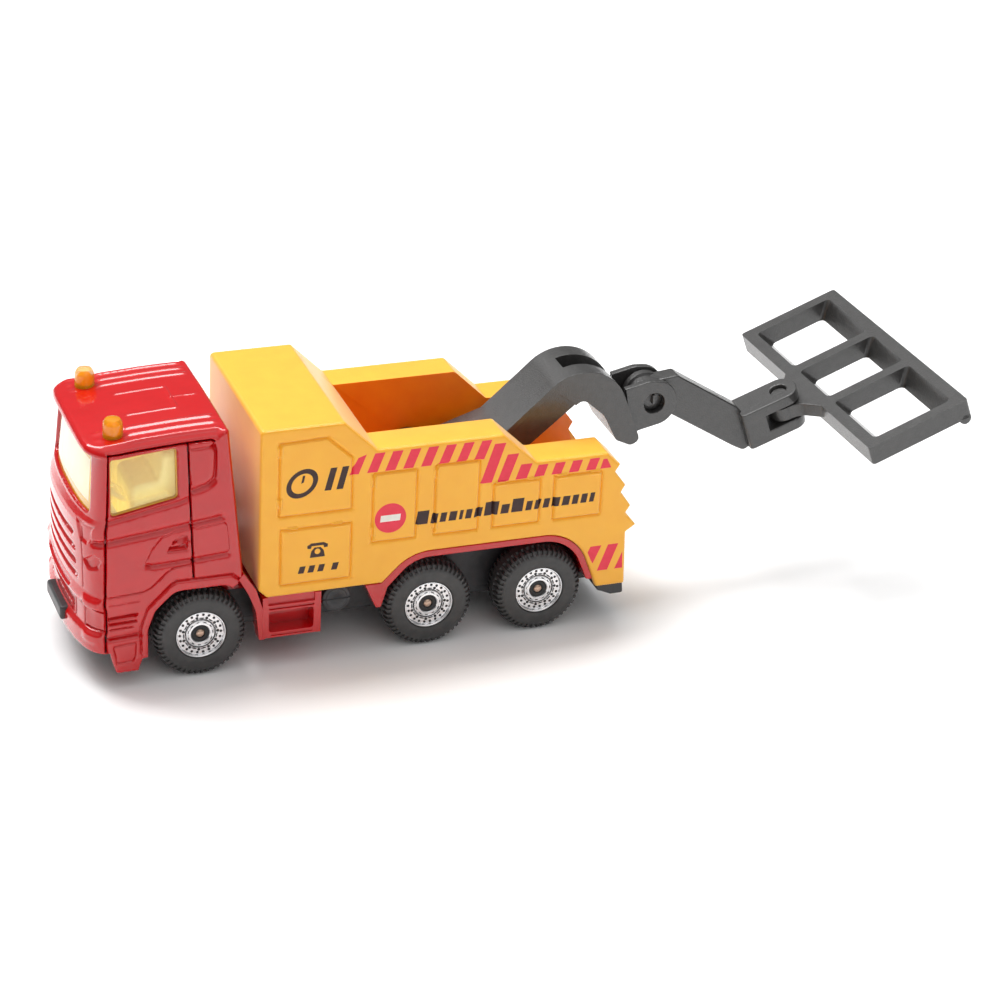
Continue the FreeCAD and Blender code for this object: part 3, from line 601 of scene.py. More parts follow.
def telephone_mark(back, height):
    handset = [(-1.5, 1.0), (-1.45, 0.55), (-0.95, 0.5), (-0.85, 0.9), (0.85, 0.9), (0.95, 0.5),
        (1.45, 0.55), (1.5, 1.0), (0.9, 1.35), (-0.9, 1.35)]
    cradle = [(-1.1, -0.9), (1.1, -0.9), (0.9, 0.1), (0.45, 0.65), (-0.45, 0.65), (-0.9, 0.1)]
    dark = [([(back + a, height + b) for a, b in path], DARK_MARK) for path in (handset, cradle)]
    return dark + [(circle(back, height, 0.42, 18), PLAIN)]


def side_marks():
    """Plain marks in place of the lettering: (outline, kind)."""
    marks = hazard_bars() + clock_mark(13.9, 28.7, 2.2)
    marks += [(bar(17.1 + k * 1.7, 27.2, 30.6, 0.95, 0.85), DARK_MARK) for k in range(2)]
    marks += telephone_mark(16.3, 17.9)
    marks += [(bar(back, 14.7, 15.8, 0.85, 0.3), DARK_MARK) for back in (13.5, 14.9, 16.3, 18.3)]
    marks.append((circle(26.8, 21.7, 2.3, 48), RED_MARK))
    marks.append((bar(25.3, 21.2, 22.2, 2.9, 0.1), WHITE_MARK))
    back = 30.6
    for width in (1.7, 0.9, 0.9, 1.1, 0.5, 0.9, 1.1, 2.0, 1.2, 1.7, 0.9, 0.9, 0.9, 1.1, 1.1, 0.9, 0.9,
            0.7):
        low = 20.05 + (back - 30.6) * 0.012
        tall = 2.1 if width > 1.5 else 1.45
        marks.append((bar(back, low, low + tall, width, 0.25), DARK_MARK))
        back += width + 0.42
    return marks


def body_height(points):
    """How far the side stands out of the body's full half width, at (back, height) points."""
    level = -edge_drop(depth_inside(rounded(BODY_SIDE), points), 0.45)
    for path in LOCKERS:
        from_line = line_distance(path, points, closed=True)
        raised = ease(depth_inside(path, points), 0.05, 0.3)
        level += 0.08 * raised - 0.3 * np.exp(-(from_line / 0.17) ** 2)
    for back, height, flat in HINGES:
        reach = (0.75, 0.32) if flat else (0.32, 0.75)
        offset = np.maximum(abs(points[:, 0] - back) / reach[0], abs(points[:, 1] - height) / reach[1])
        level += 0.3 * (1 - ease(offset, 0.75, 1.15))
    for back, height in LOCKS:
        level -= 0.14 * np.exp(-(np.hypot(points[:, 0] - back, points[:, 1] - height) / 0.3) ** 4)
    return level


def superstructure():
    core = prism("core", BODY_SIDE, -BODY_HALF + BODY_SKIN, BODY_HALF - BODY_SKIN, "side", YELLOW)
    room = prism("room", ROOM_SIDE, -BODY_HALF, BODY_HALF, "side", YELLOW)
    cut_away(room, [prism("tub_shell", TUB_SHELL_SIDE, -TUB_HALF - BODY_SKIN, TUB_HALF + BODY_SKIN,
        "side", YELLOW)])
    tub = prism("tub", TUB_SIDE, -TUB_HALF, TUB_HALF, "side", YELLOW)
    holes = rod("pivot_holes", BOOM_PIVOT, 1.56, -9.25, 9.25, YELLOW, edge=0.01)
    cut_away(core, [room, tub, holes])
    soft_tub_rim(core)
    outline = rounded(BODY_SIDE)
    lines = [list(path) + [path[0]] for path in LOCKERS]
    lines += [[(back - 0.7, height), (back + 0.7, height)] if flat else [(back, height - 0.7),
        (back, height + 0.7)] for back, height, flat in HINGES]
    front = sheet(outline, lines=lines, prints=side_marks())
    rear = backing(outline)
    out = BODY_HALF - 0.06 + body_height(front[0])
    sides = []
    for hand in (1, -1):
        outer = np.insert(front[0], 1, hand * out, axis=1)
        inner = np.insert(rear[0], 1, hand * (BODY_HALF - BODY_SKIN), axis=1)
        sides.append(shell("body_side", front, outer, rear, inner,
            [YELLOW, RED_PRINT, DARK_PRINT, WHITE_PRINT]))
    finish_piece("superstructure_shell", sides + [core], "truck", "yellow_plastic", "superstructure")


def soft_tub_rim(core):
    """Round the tub's upper edges, but not the outer ones, which meet the side sheets, and
    paint the tub's inner walls and low floor a deeper orange, as painted shade and bounced light."""
    def in_tub(place, margin):
        back = FRONT_AXLE_X - place.x / MM
        return (abs(place.y / MM) < TUB_HALF + margin and place.z / MM > 17.2 and 19 < back < 61.5)

    form = bmesh.new()
    form.from_mesh(core.data)
    chosen = [edge for edge in form.edges if len(edge.link_faces) == 2
        and edge.calc_face_angle(0) >= math.radians(35) and edge.is_convex
        and in_tub((edge.verts[0].co + edge.verts[1].co) / 2, 0.05)]
    bmesh.ops.bevel(form, geom=chosen, offset=0.35 * MM, segments=3, profile=0.5, affect="EDGES",
        clamp_overlap=True)
    bmesh.ops.triangulate(form, faces=[f for f in form.faces if len(f.verts) > 4])
    core.data.materials.append(TUB_PAINTED_SHADE)
    for face in form.faces:
        # the inner walls and the low tub floor take the painted-shade orange
        middle = face.calc_center_median()
        if in_tub(middle, 0.02) and (face.normal.z < 0.6 or middle.z < 24 * MM):
            face.material_index = len(core.data.materials) - 1
    form.to_mesh(core.data)
    form.free()
    soften(core, 32)


# ---- wheels --------------------------------------------------------------------------------------

WHEEL_MIDDLE = 10.3
LUGS = 48


def tyre_profile(lug):
    """(radius, side) round the tyre's section; lug is 1 on a lug and 0 in the gap between."""
    gap = 1 - lug
    half = [(3.62, 2.2), (3.7, 2.42), (3.95, 2.5), (4.4, 2.48), (5.2, 2.42), (5.45, 2.36),
        (5.62, 2.28 - 0.05 * gap), (5.72, 2.28 - 0.3 * gap), (6.1, 2.1 - 0.32 * gap),
        (6.38 - 0.3 * gap, 1.75 - 0.1 * gap), (6.46 - 0.34 * gap, 1.2), (6.49 - 0.34 * gap, 0.75),
        (6.5 - 0.02 * gap, 0.55)]
    return half + [(radius, -side) for radius, side in reversed(half)]


def tyre(name, hand, back):
    rings = []
    for k in range(LUGS):
        for phase, lug in ((0.0, 0), (0.1, 1), (0.5, 1), (0.6, 0)):
            angle = math.tau * (k + phase) / LUGS
            radius, side = np.array(tyre_profile(lug)).T
            rings.append(np.column_stack((back + radius * math.cos(angle), hand * (WHEEL_MIDDLE + side),
                AXLE_HEIGHT + radius * math.sin(angle))))
    return ringed(name, rings, TYRE, smooth=35)


def disc(hand, back, out, angle, reach, radius, stretch, count=12):
    """The points of a thin printed dot on a wheel's face, at this angle and reach from its
    centre: its buried outline, then its outer one."""
    points = []
    for level in (out - 0.04, out + 0.02):
        for k in range(count):
            turn = math.tau * k / count
            u, v = reach + radius * math.cos(turn), radius * stretch * math.sin(turn)
            points.append((back + u * math.cos(angle) - v * math.sin(angle), hand * level,
                AXLE_HEIGHT + u * math.sin(angle) + v * math.cos(angle)))
    return points


# the rim's web stands this far out; its dots are (count, reach, radius, stretch, start)
WEB = 12.15
RIM_DOTS = ((22, 2.95, 0.2, 1.0, 0.0), (11, 2.5, 0.22, 1.0, 0.1), (11, 2.4, 0.09, 4.5, 0.6),
    (11, 1.78, 0.06, 4.0, 0.1))


def rim(hand, back):
    middle = (back, AXLE_HEIGHT)

    def pressed(part, profile, surface, count):
        return turned(part, [(radius, hand * side) for radius, side in profile], surface, middle, count)

    face = pressed("rim", [(0.68, 7.85), (3.55, 7.85), (3.6, 7.95), (3.6, 12.45), (3.52, 12.58),
        (3.42, 12.6), (3.34, 12.52), (3.28, 12.3), (3.24, WEB), (2.28, WEB), (2.22, WEB - 0.12),
        (2.1, WEB - 0.12), (2.04, WEB), (1.98, WEB + 0.1), (1.9, WEB + 0.12), (1.82, WEB + 0.04),
        (1.74, WEB + 0.04), (1.66, WEB + 0.12), (1.42, WEB + 0.14), (1.33, WEB + 0.05),
        (1.3, WEB - 0.1), (1.3, 11.35), (0.68, 11.35)], SILVER, 72)
    points, faces = [], []
    for count, reach, radius, stretch, start in RIM_DOTS:
        out = WEB if reach > 2 else WEB + 0.04
        for k in range(count):
            dot = disc(hand, back, out, math.tau * (k + start) / count, reach, radius, stretch)
            faces += [[index + len(points) for index in part] for part in ends_and_walls(len(dot) // 2)]
            points += dot
    dots = piece("dots", points, faces, [INK])
    hub = pressed("hub", [(0.68, 11.3), (1.29, 11.3), (1.29, 12.08), (1.2, 12.14), (0.68, 12.14)], INK,
        40)
    line = pressed("line", [(2.12, WEB - 0.16), (2.19, WEB - 0.16), (2.19, WEB - 0.06),
        (2.12, WEB - 0.06)], INK, 48)
    return [face, dots, hub, line]


def axle(name, back):
    end = centre(f"{name}_axle").y + 12.3
    half = [(AXIS, end), (0.2, end), (0.42, end - 0.06), (0.56, end - 0.16), (0.63, end - 0.3),
        (0.65, end - 0.5)]
    profile = half + [(radius, -side) for radius, side in reversed(half)]
    return turned(f"{name}_axle_rod", profile, STEEL, (back, AXLE_HEIGHT), 40)


def wheels():
    for name, back in AXLE_BACKS.items():
        body = f"{name}_wheels"
        finish_piece(f"{name}_axle_rod", [axle(name, back)], body, "steel", f"{name}_axle")
        for hand, word in ((1, "left"), (-1, "right")):
            side = f"{name}_{word}"
            finish_piece(f"{side}_tyre_moulding", [tyre("tyre", hand, back)], body, "tyre",
                f"{side}_tyre")
            finish_piece(f"{side}_rim_pressing", rim(hand, back), body, "silver_rim", f"{side}_rim")


# ---- base plate ----------------------------------------------------------------------------------


def base_plate():
    """The black floor with its axle bearings, tank ends, number plate block and bumper."""
    pieces = [block("pan", (-15.8, 62.6), (-7.0, 7.0), (4.2, 5.4), BASE),
        bevel(block("plate_block", (-17.95, -14.6), (-4.3, 4.3), (6.9, 9.0), BASE), 0.4),
        block("block_foot", (-15.75, -13.4), (-4.3, 4.3), (4.25, 8.95), BASE),
        prism("rear_bumper", [(58.9, 6.1, 0.3), (62.9, 6.1, 0.3), (63.05, 4.25, 0.3), (61.2, 4.25, 0.3),
        (59.0, 5.2, 0.3)], -12.55, 12.55, "side", BASE)]
    for thing in pieces:
        bevel(thing, 0.25)
    rail = [(-4.0, 5.3), (-4.0, 9.9), (28.0, 9.9), (30.4, 13.2), (52.4, 13.2), (55.4, 9.0), (55.4, 5.3)]
    tank_end = [(AXIS, 8.2), (2.0, 8.2), (2.1, 8.3), (2.1, 11.8), (2.02, 12.0), (1.85, 12.08),
        (1.6, 12.1), (1.5, 12.18), (AXIS, 12.2)]
    tank = (19.7, 9.2)
    for hand in (1, -1):
        pieces.append(prism("rail", rail, hand * 6.0, hand * 6.98, "side", BASE))
        for back in AXLE_BACKS.values():
            pieces.append(block("bearing", (back - 2.2, back + 2.2), (hand * 4.4, hand * 6.8),
                (5.3, 8.7), BASE))
        drum = turned("tank", [(radius, hand * side) for radius, side in tank_end], BASE, tank, 48)
        seam = block("seam", (17.0, 22.4), (hand * 11.0, hand * 13.0), (9.12, 9.22), BASE)
        pieces.append(cut_away(drum, [seam]))
        pieces.append(rod("neck", tank, 0.85, *sorted((hand * 6.5, hand * 8.4)), BASE))
    finish_piece("base_plate_moulding", pieces, "truck", "dark_plastic", "base_plate")


# ---- boom, arm and lifting frame -----------------------------------------------------------------

FOLD_PIN = (70.04, 29.49)
SWING_PIN = (91.86, 25.94)
FRAME_PITCH = math.radians(20.27)
FRAME_YAW = math.radians(2.18)
BOOM_SIDE = [(36.3, 24.75), (46.24, 28.04), (61.05, 41.4, 7.0), (67.6, 24.5, 0.9), (66.1, 23.9, 0.9),
    (63.8, 25.0, 1.0), (61.7, 29.2, 3.0), (58.3, 32.2, 1.2), (48.6, 24.1), (37.2, 18.75)]
BOOM_PANEL = [(30.0, 21.9), (46.45, 27.25), (53.9, 33.95, 1.5), (57.2, 31.4), (57.3, 30.0),
    (40.0, 10.0), (30.0, 10.0)]
ELBOW_SLOT = [(56.1, 39.0), (56.1, 34.3), (60.0, 33.6), (62.4, 32.0), (64.2, 28.0), (72.0, 28.0),
    (72.0, 39.0)]
ARM_SIDE = [(70.6, 32.2), (74.3, 32.6, 0.8), (84.2, 26.35, 0.3), (85.0, 25.45, 0.3), (86.2, 25.8),
    (87.6, 20.3), (85.9, 19.0, 1.0), (84.0, 20.0, 2.0), (71.3, 27.9)]
EAR_SIDE = [(65.4, 32.2), (69.0, 33.0, 3.2), (73.5, 32.6, 3.2), (73.5, 26.6, 3.3), (68.0, 25.4),
    (66.6, 24.9)]


def boom():
    beam = prism("beam", BOOM_SIDE, -4.7, 4.7, "side", BLACK, step=0.5)
    panels = [prism("panel", BOOM_PANEL, hand * 4.35, hand * 6.0, "side", BLACK) for hand in (1, -1)]
    cut_away(beam, [prism("elbow_slot", ELBOW_SLOT, -1.65, 1.65, "side", BLACK)] + panels)
    pieces = [bevel(beam, 0.3), bevel(rod("hub", BOOM_PIVOT, 3.1, -7.65, 7.65, BLACK), 0.01, 1),
        rod("stubs", BOOM_PIVOT, 1.5, -9.05, 9.05, BLACK)]
    for hand in (1, -1):
        low, high = sorted((hand * 2.2, hand * 3.25))
        ear = prism("ear", EAR_SIDE, low, high, "side", BLACK)
        cut_away(ear, [rod("hole", FOLD_PIN, 1.58, low - 1, high + 1, BLACK, edge=0.01)])
        pieces.append(bevel(ear, 0.15))
    finish_piece("boom_moulding", pieces, "boom", "black_plastic", "boom")


def to_swing_plane(things, yaw=0.0):
    """Pieces drawn about the swing pin, in (out along the frame, across, up), in metres, are
    stood in their place."""
    pin = Vector((FRONT_AXLE_X - SWING_PIN[0], 0, SWING_PIN[1])) * MM
    turn = (Matrix.Translation(pin) @ Matrix.Rotation(FRAME_PITCH, 4, "Y")
        @ Matrix.Rotation(math.pi + yaw, 4, "Z"))
    back = Matrix.Translation(Vector((FRONT_AXLE_X * MM, 0, 0)))
    for thing in things:
        thing.data.transform(turn @ Matrix.Scale(-1, 4, (1, 0, 0)) @ back.inverted())
        thing.data.flip_normals()
        flat_faces(thing)
    return things


def arm():
    beam = bevel(prism("bar", ARM_SIDE, -1.4, 1.4, "side", BLACK), 0.25)
    ridged = [(AXIS, -1.95), (2.9, -1.95), (3.1, -1.8), (3.1, -0.75), (2.75, -0.6), (2.75, 0.6),
        (3.1, 0.75), (3.1, 1.8), (2.9, 1.95), (AXIS, 1.95)]
    tongue = turned("tongue", ridged, BLACK, FOLD_PIN, 56)
    pins = rod("pins", FOLD_PIN, 1.3, -2.3, 2.3, BLACK)
    fin = block("fin", (FOLD_PIN[0] - 0.18, FOLD_PIN[0] + 0.18), (-3.0, 3.0),
        (FOLD_PIN[1] - 0.3, FOLD_PIN[1] + 1.2), BLACK)
    bevel(fin, 0.08, 2)
    plan = [(-7.2, 2.75, 0.6), (2.0, 2.75, 2.2), (2.9, 0.0, 2.0), (2.0, -2.75, 2.2), (-7.2, -2.75, 0.6)]
    clevis = prism("clevis", plan, -4.1, 1.95, "plan", BLACK)
    slot = block("slot", (-3.6, 6.0), (-4.0, 4.0), (-2.4, 0.25), BLACK)
    hole = prism("hole", circle(0, 0, 1.25, 36), -6, 4, "plan", BLACK)
    bevel(cut_away(clevis, [slot, hole]), 0.2)
    to_swing_plane([clevis])
    finish_piece("arm_moulding", [beam, tongue, pins, fin, clevis], "arm", "black_plastic", "arm")


def lifting_frame():
    near, far, half, rail, middle, draft = 3.75, 20.19, 21.22, 1.85, 4.75, 2.0
    plate = prism("plate", [(near, -half, 0.5), (far, -half, 0.5), (far, half, 0.5), (near, half, 0.5)],
        -2.94, 0.0, "plan", BLACK)
    windows = []
    for low, high in ((-half + rail, -middle - rail), (-middle, middle), (middle + rail, half - rail)):
        points = []
        for level, inward in ((0.3, -0.2), (-3.2, draft)):
            start, end = near + rail + inward, far - rail - inward
            path = rounded([(start, low, 0.8), (end, low, 0.8), (end, high, 0.8), (start, high, 0.8)])
            points += [(a, b, level) for a, b in path]
        windows.append(piece("window", points, ends_and_walls(len(points) // 2), [BLACK]))
    bevel(cut_away(plate, windows), 0.22)
    tongue = prism("tongue", [(-2.5, -2.5, 2.4), (1.3, -2.5, 2.5), (near + 0.6, -6.8, 0.3),
        (near + 0.6, 6.8, 0.3), (1.3, 2.5, 2.5), (-2.5, 2.5, 2.4)], -2.2, -0.02, "plan", BLACK)
    pins = prism("pins", circle(0, 0, 1.19, 32), -3.6, 1.4, "plan", BLACK)
    lip = prism("lip", circle(far - 1.0, -2.95, 0.95, 28), -half, half, "side", BLACK)
    things = [plate, bevel(tongue, 0.2), bevel(pins, 0.12, 2), bevel(lip, 0.3)]
    finish_piece("lifting_frame_moulding", to_swing_plane(things, FRAME_YAW), "lifting_frame",
        "black_plastic", "lifting_frame")


# ---- cab: one wrapped sheet round the front, side and rear, with the roof laid on it -------------

CAB_HALF = 13.15
CORNER_AHEAD = 12.5
REAR_CORNER = 0.8
SIDE_REAR = 6.0
CAB_SKIN = 0.8
# how far the middle of the front stands ahead of its corners
NOSE = 4.95
# above this height the sides and the rear lean in, by this much in this rise
LEAN_START, LEAN_RISE = 15, 21
SIDE_LEAN, REAR_LEAN = 1.2, 1.8
# the side is drawn in behind this place to meet the leaning rear
PULL_START = 2
# the front's distance ahead of the axle, at each height
FRONT_PROFILE = np.array([(2.0, 17.2), (5.6, 17.25), (6.4, 17.45), (8.3, 17.4), (9.2, 16.7),
    (12.2, 16.7), (12.7, 17.3), (13.4, 17.45), (14.6, 16.95), (24.3, 17.1), (24.9, 16.9), (25.9, 16.3),
    (34.7, 15.25), (35.0, 15.3), (35.4, 15.85), (37.0, 15.85)])
ROOF_PROFILE = np.array([(-17.0, 36.35), (-14.0, 36.5), (-12.0, 36.62), (-8.0, 37.0), (-3.0, 37.3),
    (0.0, 37.4), (6.0, 37.45)])
# the wrapped sheet's second coordinate is the height up to here, then runs over the edge
EDGE_START = 35.4
EDGE_END = 37.9
STRETCH_START = 33.0

# the front's plan, a rounded curve from its middle to its corner, with the length along it
TURN = np.linspace(0, math.pi / 2, 3000)[::-1]
FRONT_AHEAD = np.sin(TURN) ** (2 / 3)
FRONT_SIDE = np.cos(TURN) ** 0.93
FRONT_STEPS = np.hypot(np.diff(NOSE * FRONT_AHEAD), np.diff(CAB_HALF * FRONT_SIDE))
FRONT_LENGTHS = np.concatenate(([0], np.cumsum(FRONT_STEPS)))
FRONT_END = FRONT_LENGTHS[-1]
SIDE_END = FRONT_END + CORNER_AHEAD + SIDE_REAR - REAR_CORNER
CORNER_END = SIDE_END + REAR_CORNER * math.pi / 2
WRAP_END = CORNER_END + CAB_HALF - REAR_CORNER


def along_back(back):
    """The wrapped coordinate of a place on the cab's side or front corner."""
    ahead = -back
    if ahead <= CORNER_AHEAD:
        return FRONT_END + CORNER_AHEAD - ahead
    share = (ahead - CORNER_AHEAD) / NOSE
    return float(np.interp(-share, -FRONT_AHEAD, FRONT_LENGTHS))


def along_side(side):
    """The wrapped coordinate of a place on the cab's front."""
    return float(np.interp(side / CAB_HALF, FRONT_SIDE, FRONT_LENGTHS))


def on_side(points):
    return [(along_back(point[0]),) + tuple(point[1:]) for point in points]


def on_front(points):
    return [(along_side(point[0]),) + tuple(point[1:]) for point in points]


def cab_ring(wrap, height):
    """(back, side) on the cab's outline at this height."""
    lean = np.clip(height - LEAN_START, 0, None) / LEAN_RISE
    half = CAB_HALF - SIDE_LEAN * lean
    rear = SIDE_REAR - REAR_LEAN * lean
    front = np.interp(height, *FRONT_PROFILE.T)
    share = np.interp(wrap, FRONT_LENGTHS, FRONT_AHEAD)
    share = 1 - (1 - share) ** (1 + 0.9 * ease(height, 34.9, 35.4))
    back = -(CORNER_AHEAD + (front - CORNER_AHEAD) * share)
    side = half * np.interp(wrap, FRONT_LENGTHS, FRONT_SIDE)
    straight = wrap - FRONT_END - CORNER_AHEAD
    end = SIDE_REAR - REAR_CORNER
    pulled = PULL_START + ((straight - PULL_START) * (rear - REAR_CORNER - PULL_START)
        / (end - PULL_START))
    on_the_side = wrap > FRONT_END
    back = np.where(on_the_side, np.where(straight > PULL_START, pulled, straight), back)
    side = np.where(on_the_side, half, side)
    angle = np.clip((wrap - SIDE_END) / REAR_CORNER, 0, math.pi / 2)
    at_corner = wrap > SIDE_END
    back = np.where(at_corner, rear - REAR_CORNER * (1 - np.sin(angle)), back)
    side = np.where(at_corner, half - REAR_CORNER * (1 - np.cos(angle)), side)
    across = np.clip((wrap - CORNER_END) / (WRAP_END - CORNER_END), 0, 1)
    return back, np.where(wrap > CORNER_END, (half - REAR_CORNER) * (1 - across), side)


def roof_height(back, side):
    return np.interp(back, *ROOF_PROFILE.T) - 0.2 * (side / 12.0) ** 2


def cab_surface(wrap, level):
    """(back, side, height) at each place of the wrapped sheet, before any relief."""
    hand = np.where(wrap < 0, -1.0, 1.0)
    wrap = abs(wrap)
    # the roof edge's radius from the middle of the front round to the rear
    radius = np.interp(wrap, [0, FRONT_END - 5, FRONT_END + 1.5, SIDE_END - 2.5, SIDE_END],
        [0.9, 0.95, 1.6, 1.6, 0.66])
    top_back, top_side = cab_ring(wrap, np.full_like(wrap, 35.8))
    start = roof_height(top_back, top_side) - radius
    share = (level - STRETCH_START) / (EDGE_START - STRETCH_START)
    height = np.where(level > STRETCH_START, STRETCH_START + share * (start - STRETCH_START), level)
    height = np.minimum(height, start)
    back, side = cab_ring(wrap, height)
    step = 0.02
    ahead_back, ahead_side = cab_ring(wrap + step, start)
    behind_back, behind_side = cab_ring(np.maximum(wrap - step, 0), start)
    out_back, out_side = -(ahead_side - behind_side), ahead_back - behind_back
    length = np.maximum(np.hypot(out_back, out_side), 1e-9)
    angle = np.clip((level - EDGE_START) / (EDGE_END - EDGE_START), 0, 1) * math.pi / 2
    over = level > EDGE_START
    base_back, base_side = cab_ring(wrap, start)
    inward = radius * (1 - np.cos(angle))
    back = np.where(over, base_back - out_back / length * inward, back)
    side = np.where(over, np.maximum(base_side - out_side / length * inward, 0), side)
    height = np.where(over, roof_height(back, side) - radius * (1 - np.sin(angle)), height)
    return np.column_stack((back, hand * side, height))


def cab_normals(wrap, level):
    step = 0.04
    across = cab_surface(wrap + step, level) - cab_surface(wrap - step, level)
    upward = cab_surface(wrap, level + step) - cab_surface(wrap, level - step)
    normal = np.cross(upward, across)
    return normal / np.maximum(np.linalg.norm(normal, axis=1), 1e-9)[:, None]


SIDE_WINDOW = on_side([(-12.5, 35.1, 0.5), (-3.3, 35.35, 0.5), (-3.2, 28.1, 0.6), (-12.6, 26.3, 0.6)])
WINDSCREEN_EDGE = [(0.0, 26.5)] + rounded(on_front([(0.0, 26.5), (10.9, 26.3, 1.0),
    (10.3, 34.75, 0.8), (0.0, 34.75)]))[1:-1] + [(0.0, 34.75)]
ARCH_EDGE = rounded([(-9.0, 2.4), (-8.4, 4.2, 0.2), (-7.6, 4.3, 0.2), (-7.6, 8.6, 2.0),
    (-6.6, 11.4, 2.0), (-3.8, 14.1, 2.5), (3.7, 14.1, 2.0), (5.6, 11.9), (3.0, 2.4)])[1:-2]
CAB_FOOT = [(0.0, 5.6)] + on_side([(-13.0, 5.6), (-12.6, 4.0), (-12.1, 2.5), (-11.9, 2.4),
    (-9.0, 2.4)] + ARCH_EDGE + [(5.6, 14.3)]) + [(SIDE_END, 14.3), (WRAP_END, 14.3)]
# grooves in the cab's side and front: (path, half width, depth)
SIDE_GROOVES = [([(-13.6, 6.0), (-13.75, 15.0), (-13.5, 22.0), (-13.15, 30.0), (-12.95, 35.9)], 0.17,
    0.4), ([(-12.95, 35.9), (-9.0, 35.9), (1.6, 35.9), (2.0, 35.6)], 0.2, 0.35),
    ([(-1.2, 15.9), (-1.3, 20.0), (-1.75, 35.8)], 0.15, 0.34), ([(-1.2, 28.9), (1.0, 29.5), (1.9, 30.3),
    (2.15, 31.4), (2.3, 34.3), (1.9, 35.0)], 0.42, 0.36), ([(1.9, 35.0), (-1.2, 34.9)], 0.14, 0.12),
    ([(-12.9, 25.7), (-3.0, 27.5), (-1.8, 27.9)], 0.34, 0.24), ([(-15.2, 22.4), (-8.0, 23.2),
    (3.2, 24.5)], 0.45, 0.38), ([(-7.8, 18.7), (-7.0, 18.4), (-1.5, 18.6), (3.9, 18.95)], 0.34, 0.3),
    ([(-7.9, 18.9), (-7.0, 21.0), (-5.6, 22.6), (-3.6, 23.2), (-1.6, 23.4)], 0.11, 0.08),
    ([(-0.8, 23.3), (3.6, 23.8), (4.1, 23.2), (4.2, 19.4)], 0.11, 0.08),
    ([(-13.3, 14.4), (-8.3, 14.7), (-7.2, 15.2), (-5.0, 17.2), (-4.0, 17.8), (-1.4, 18.0)], 0.13, 0.14),
    ([(-13.3, 13.2), (-8.9, 13.4)], 0.1, 0.07), ([(-8.6, 5.0), (-8.6, 9.2), (-7.6, 12.1), (-4.5, 15.2),
    (-3.6, 15.7), (4.3, 15.7), (5.9, 14.3)], 0.2, 0.24), ([(-13.2, 11.1), (-9.2, 11.3)], 0.24, 0.4),
    ([(-13.2, 10.2), (-9.3, 10.35)], 0.2, 0.32), ([(-13.0, 9.4), (-9.8, 9.5)], 0.14, 0.18),
    ([(-13.2, 7.9), (-8.9, 8.1)], 0.34, 0.4), ([(-12.5, 6.7), (-9.3, 6.9), (-9.4, 4.8), (-9.8, 4.1),
    (-12.0, 4.0), (-12.5, 6.7)], 0.14, 0.14), ([(-16.3, 9.2), (-13.9, 9.3), (-13.9, 12.1),
    (-16.3, 12.3), (-16.3, 9.2)], 0.14, 0.22), ([(-4.8, 20.35), (-1.9, 20.3)], 0.16, 0.15)]
FRONT_GROOVES = [([(9.8, 14.9), (9.95, 19.0), (9.6, 23.9)], 0.12, 0.22),
    ([(7.0, 9.3), (7.0, 12.2)], 0.14, 0.22), ([(0.0, 12.3), (6.0, 12.3), (10.5, 12.25)], 0.14, 0.2)]
CAB_GROOVES = [(wrapped(path), half, depth) for wrapped, grooves in ((on_side, SIDE_GROOVES),
    (on_front, FRONT_GROOVES)) for path, half, depth in grooves]
# flat-bottomed sinks: (outline, depth, wall)
CAB_SINKS = [(on_side([(-4.9, 20.5), (-1.95, 20.5), (-1.95, 22.5), (-2.9, 22.6), (-3.9, 22.0)]), 0.5,
    0.25), (on_side([(-16.35, 19.4), (-15.3, 20.9), (-14.4, 20.6), (-13.95, 19.8), (-14.6, 18.5),
    (-15.8, 18.0)]), 0.4, 0.5), (on_side([(-16.75, 25.0), (-16.5, 22.0), (-15.9, 21.6), (-15.3, 22.6),
    (-15.2, 24.0), (-14.7, 25.2)]), 0.3, 0.6)]
GRILLE_ROWS = [(22.0, 6.6), (19.9, 7.3), (17.9, 7.5), (15.9, 7.6), (13.6, 5.6), (10.9, 5.7)]


def cab_relief(points, rims):
    """How far the finished cab stands out of its plain surface, at (wrap, level) points."""
    level = np.zeros(len(points))
    for path, radius in rims:
        level -= edge_drop(line_distance(path, points), radius)
    for path, half, depth in CAB_GROOVES:
        level -= 1.5 * depth * np.exp(-(line_distance(path, points) / (0.85 * half)) ** 2)
    for path, depth, wall in CAB_SINKS:
        level -= depth * ease(depth_inside(path, points), 0, wall)
    for height, reach in GRILLE_ROWS:
        slot = line_distance([(-1.0, height), (along_side(reach), height)], points)
        level -= 0.42 * (1 - ease(slot, 0.28, 0.55))
    wrap, height = points.T
    corner = ease(wrap, along_side(9.6), along_side(11.2)) \
        * (1 - ease(wrap, along_back(-14.6), along_back(-13.9)))
    level += corner * (0.4 * np.exp(-((height - 13.3) / 0.75) ** 4) + 0.3
        * np.exp(-((height - 7.9) / 0.8) ** 4) - 0.25 * np.exp(-((height - 10.7) / 1.4) ** 6))
    grip = line_distance(on_side([(-4.1, 21.1), (-2.0, 21.5)]), points)
    level += 0.38 * (1 - ease(grip, 0.12, 0.34))
    return level


BEACON_PLACE = (-11.2, 8.2)


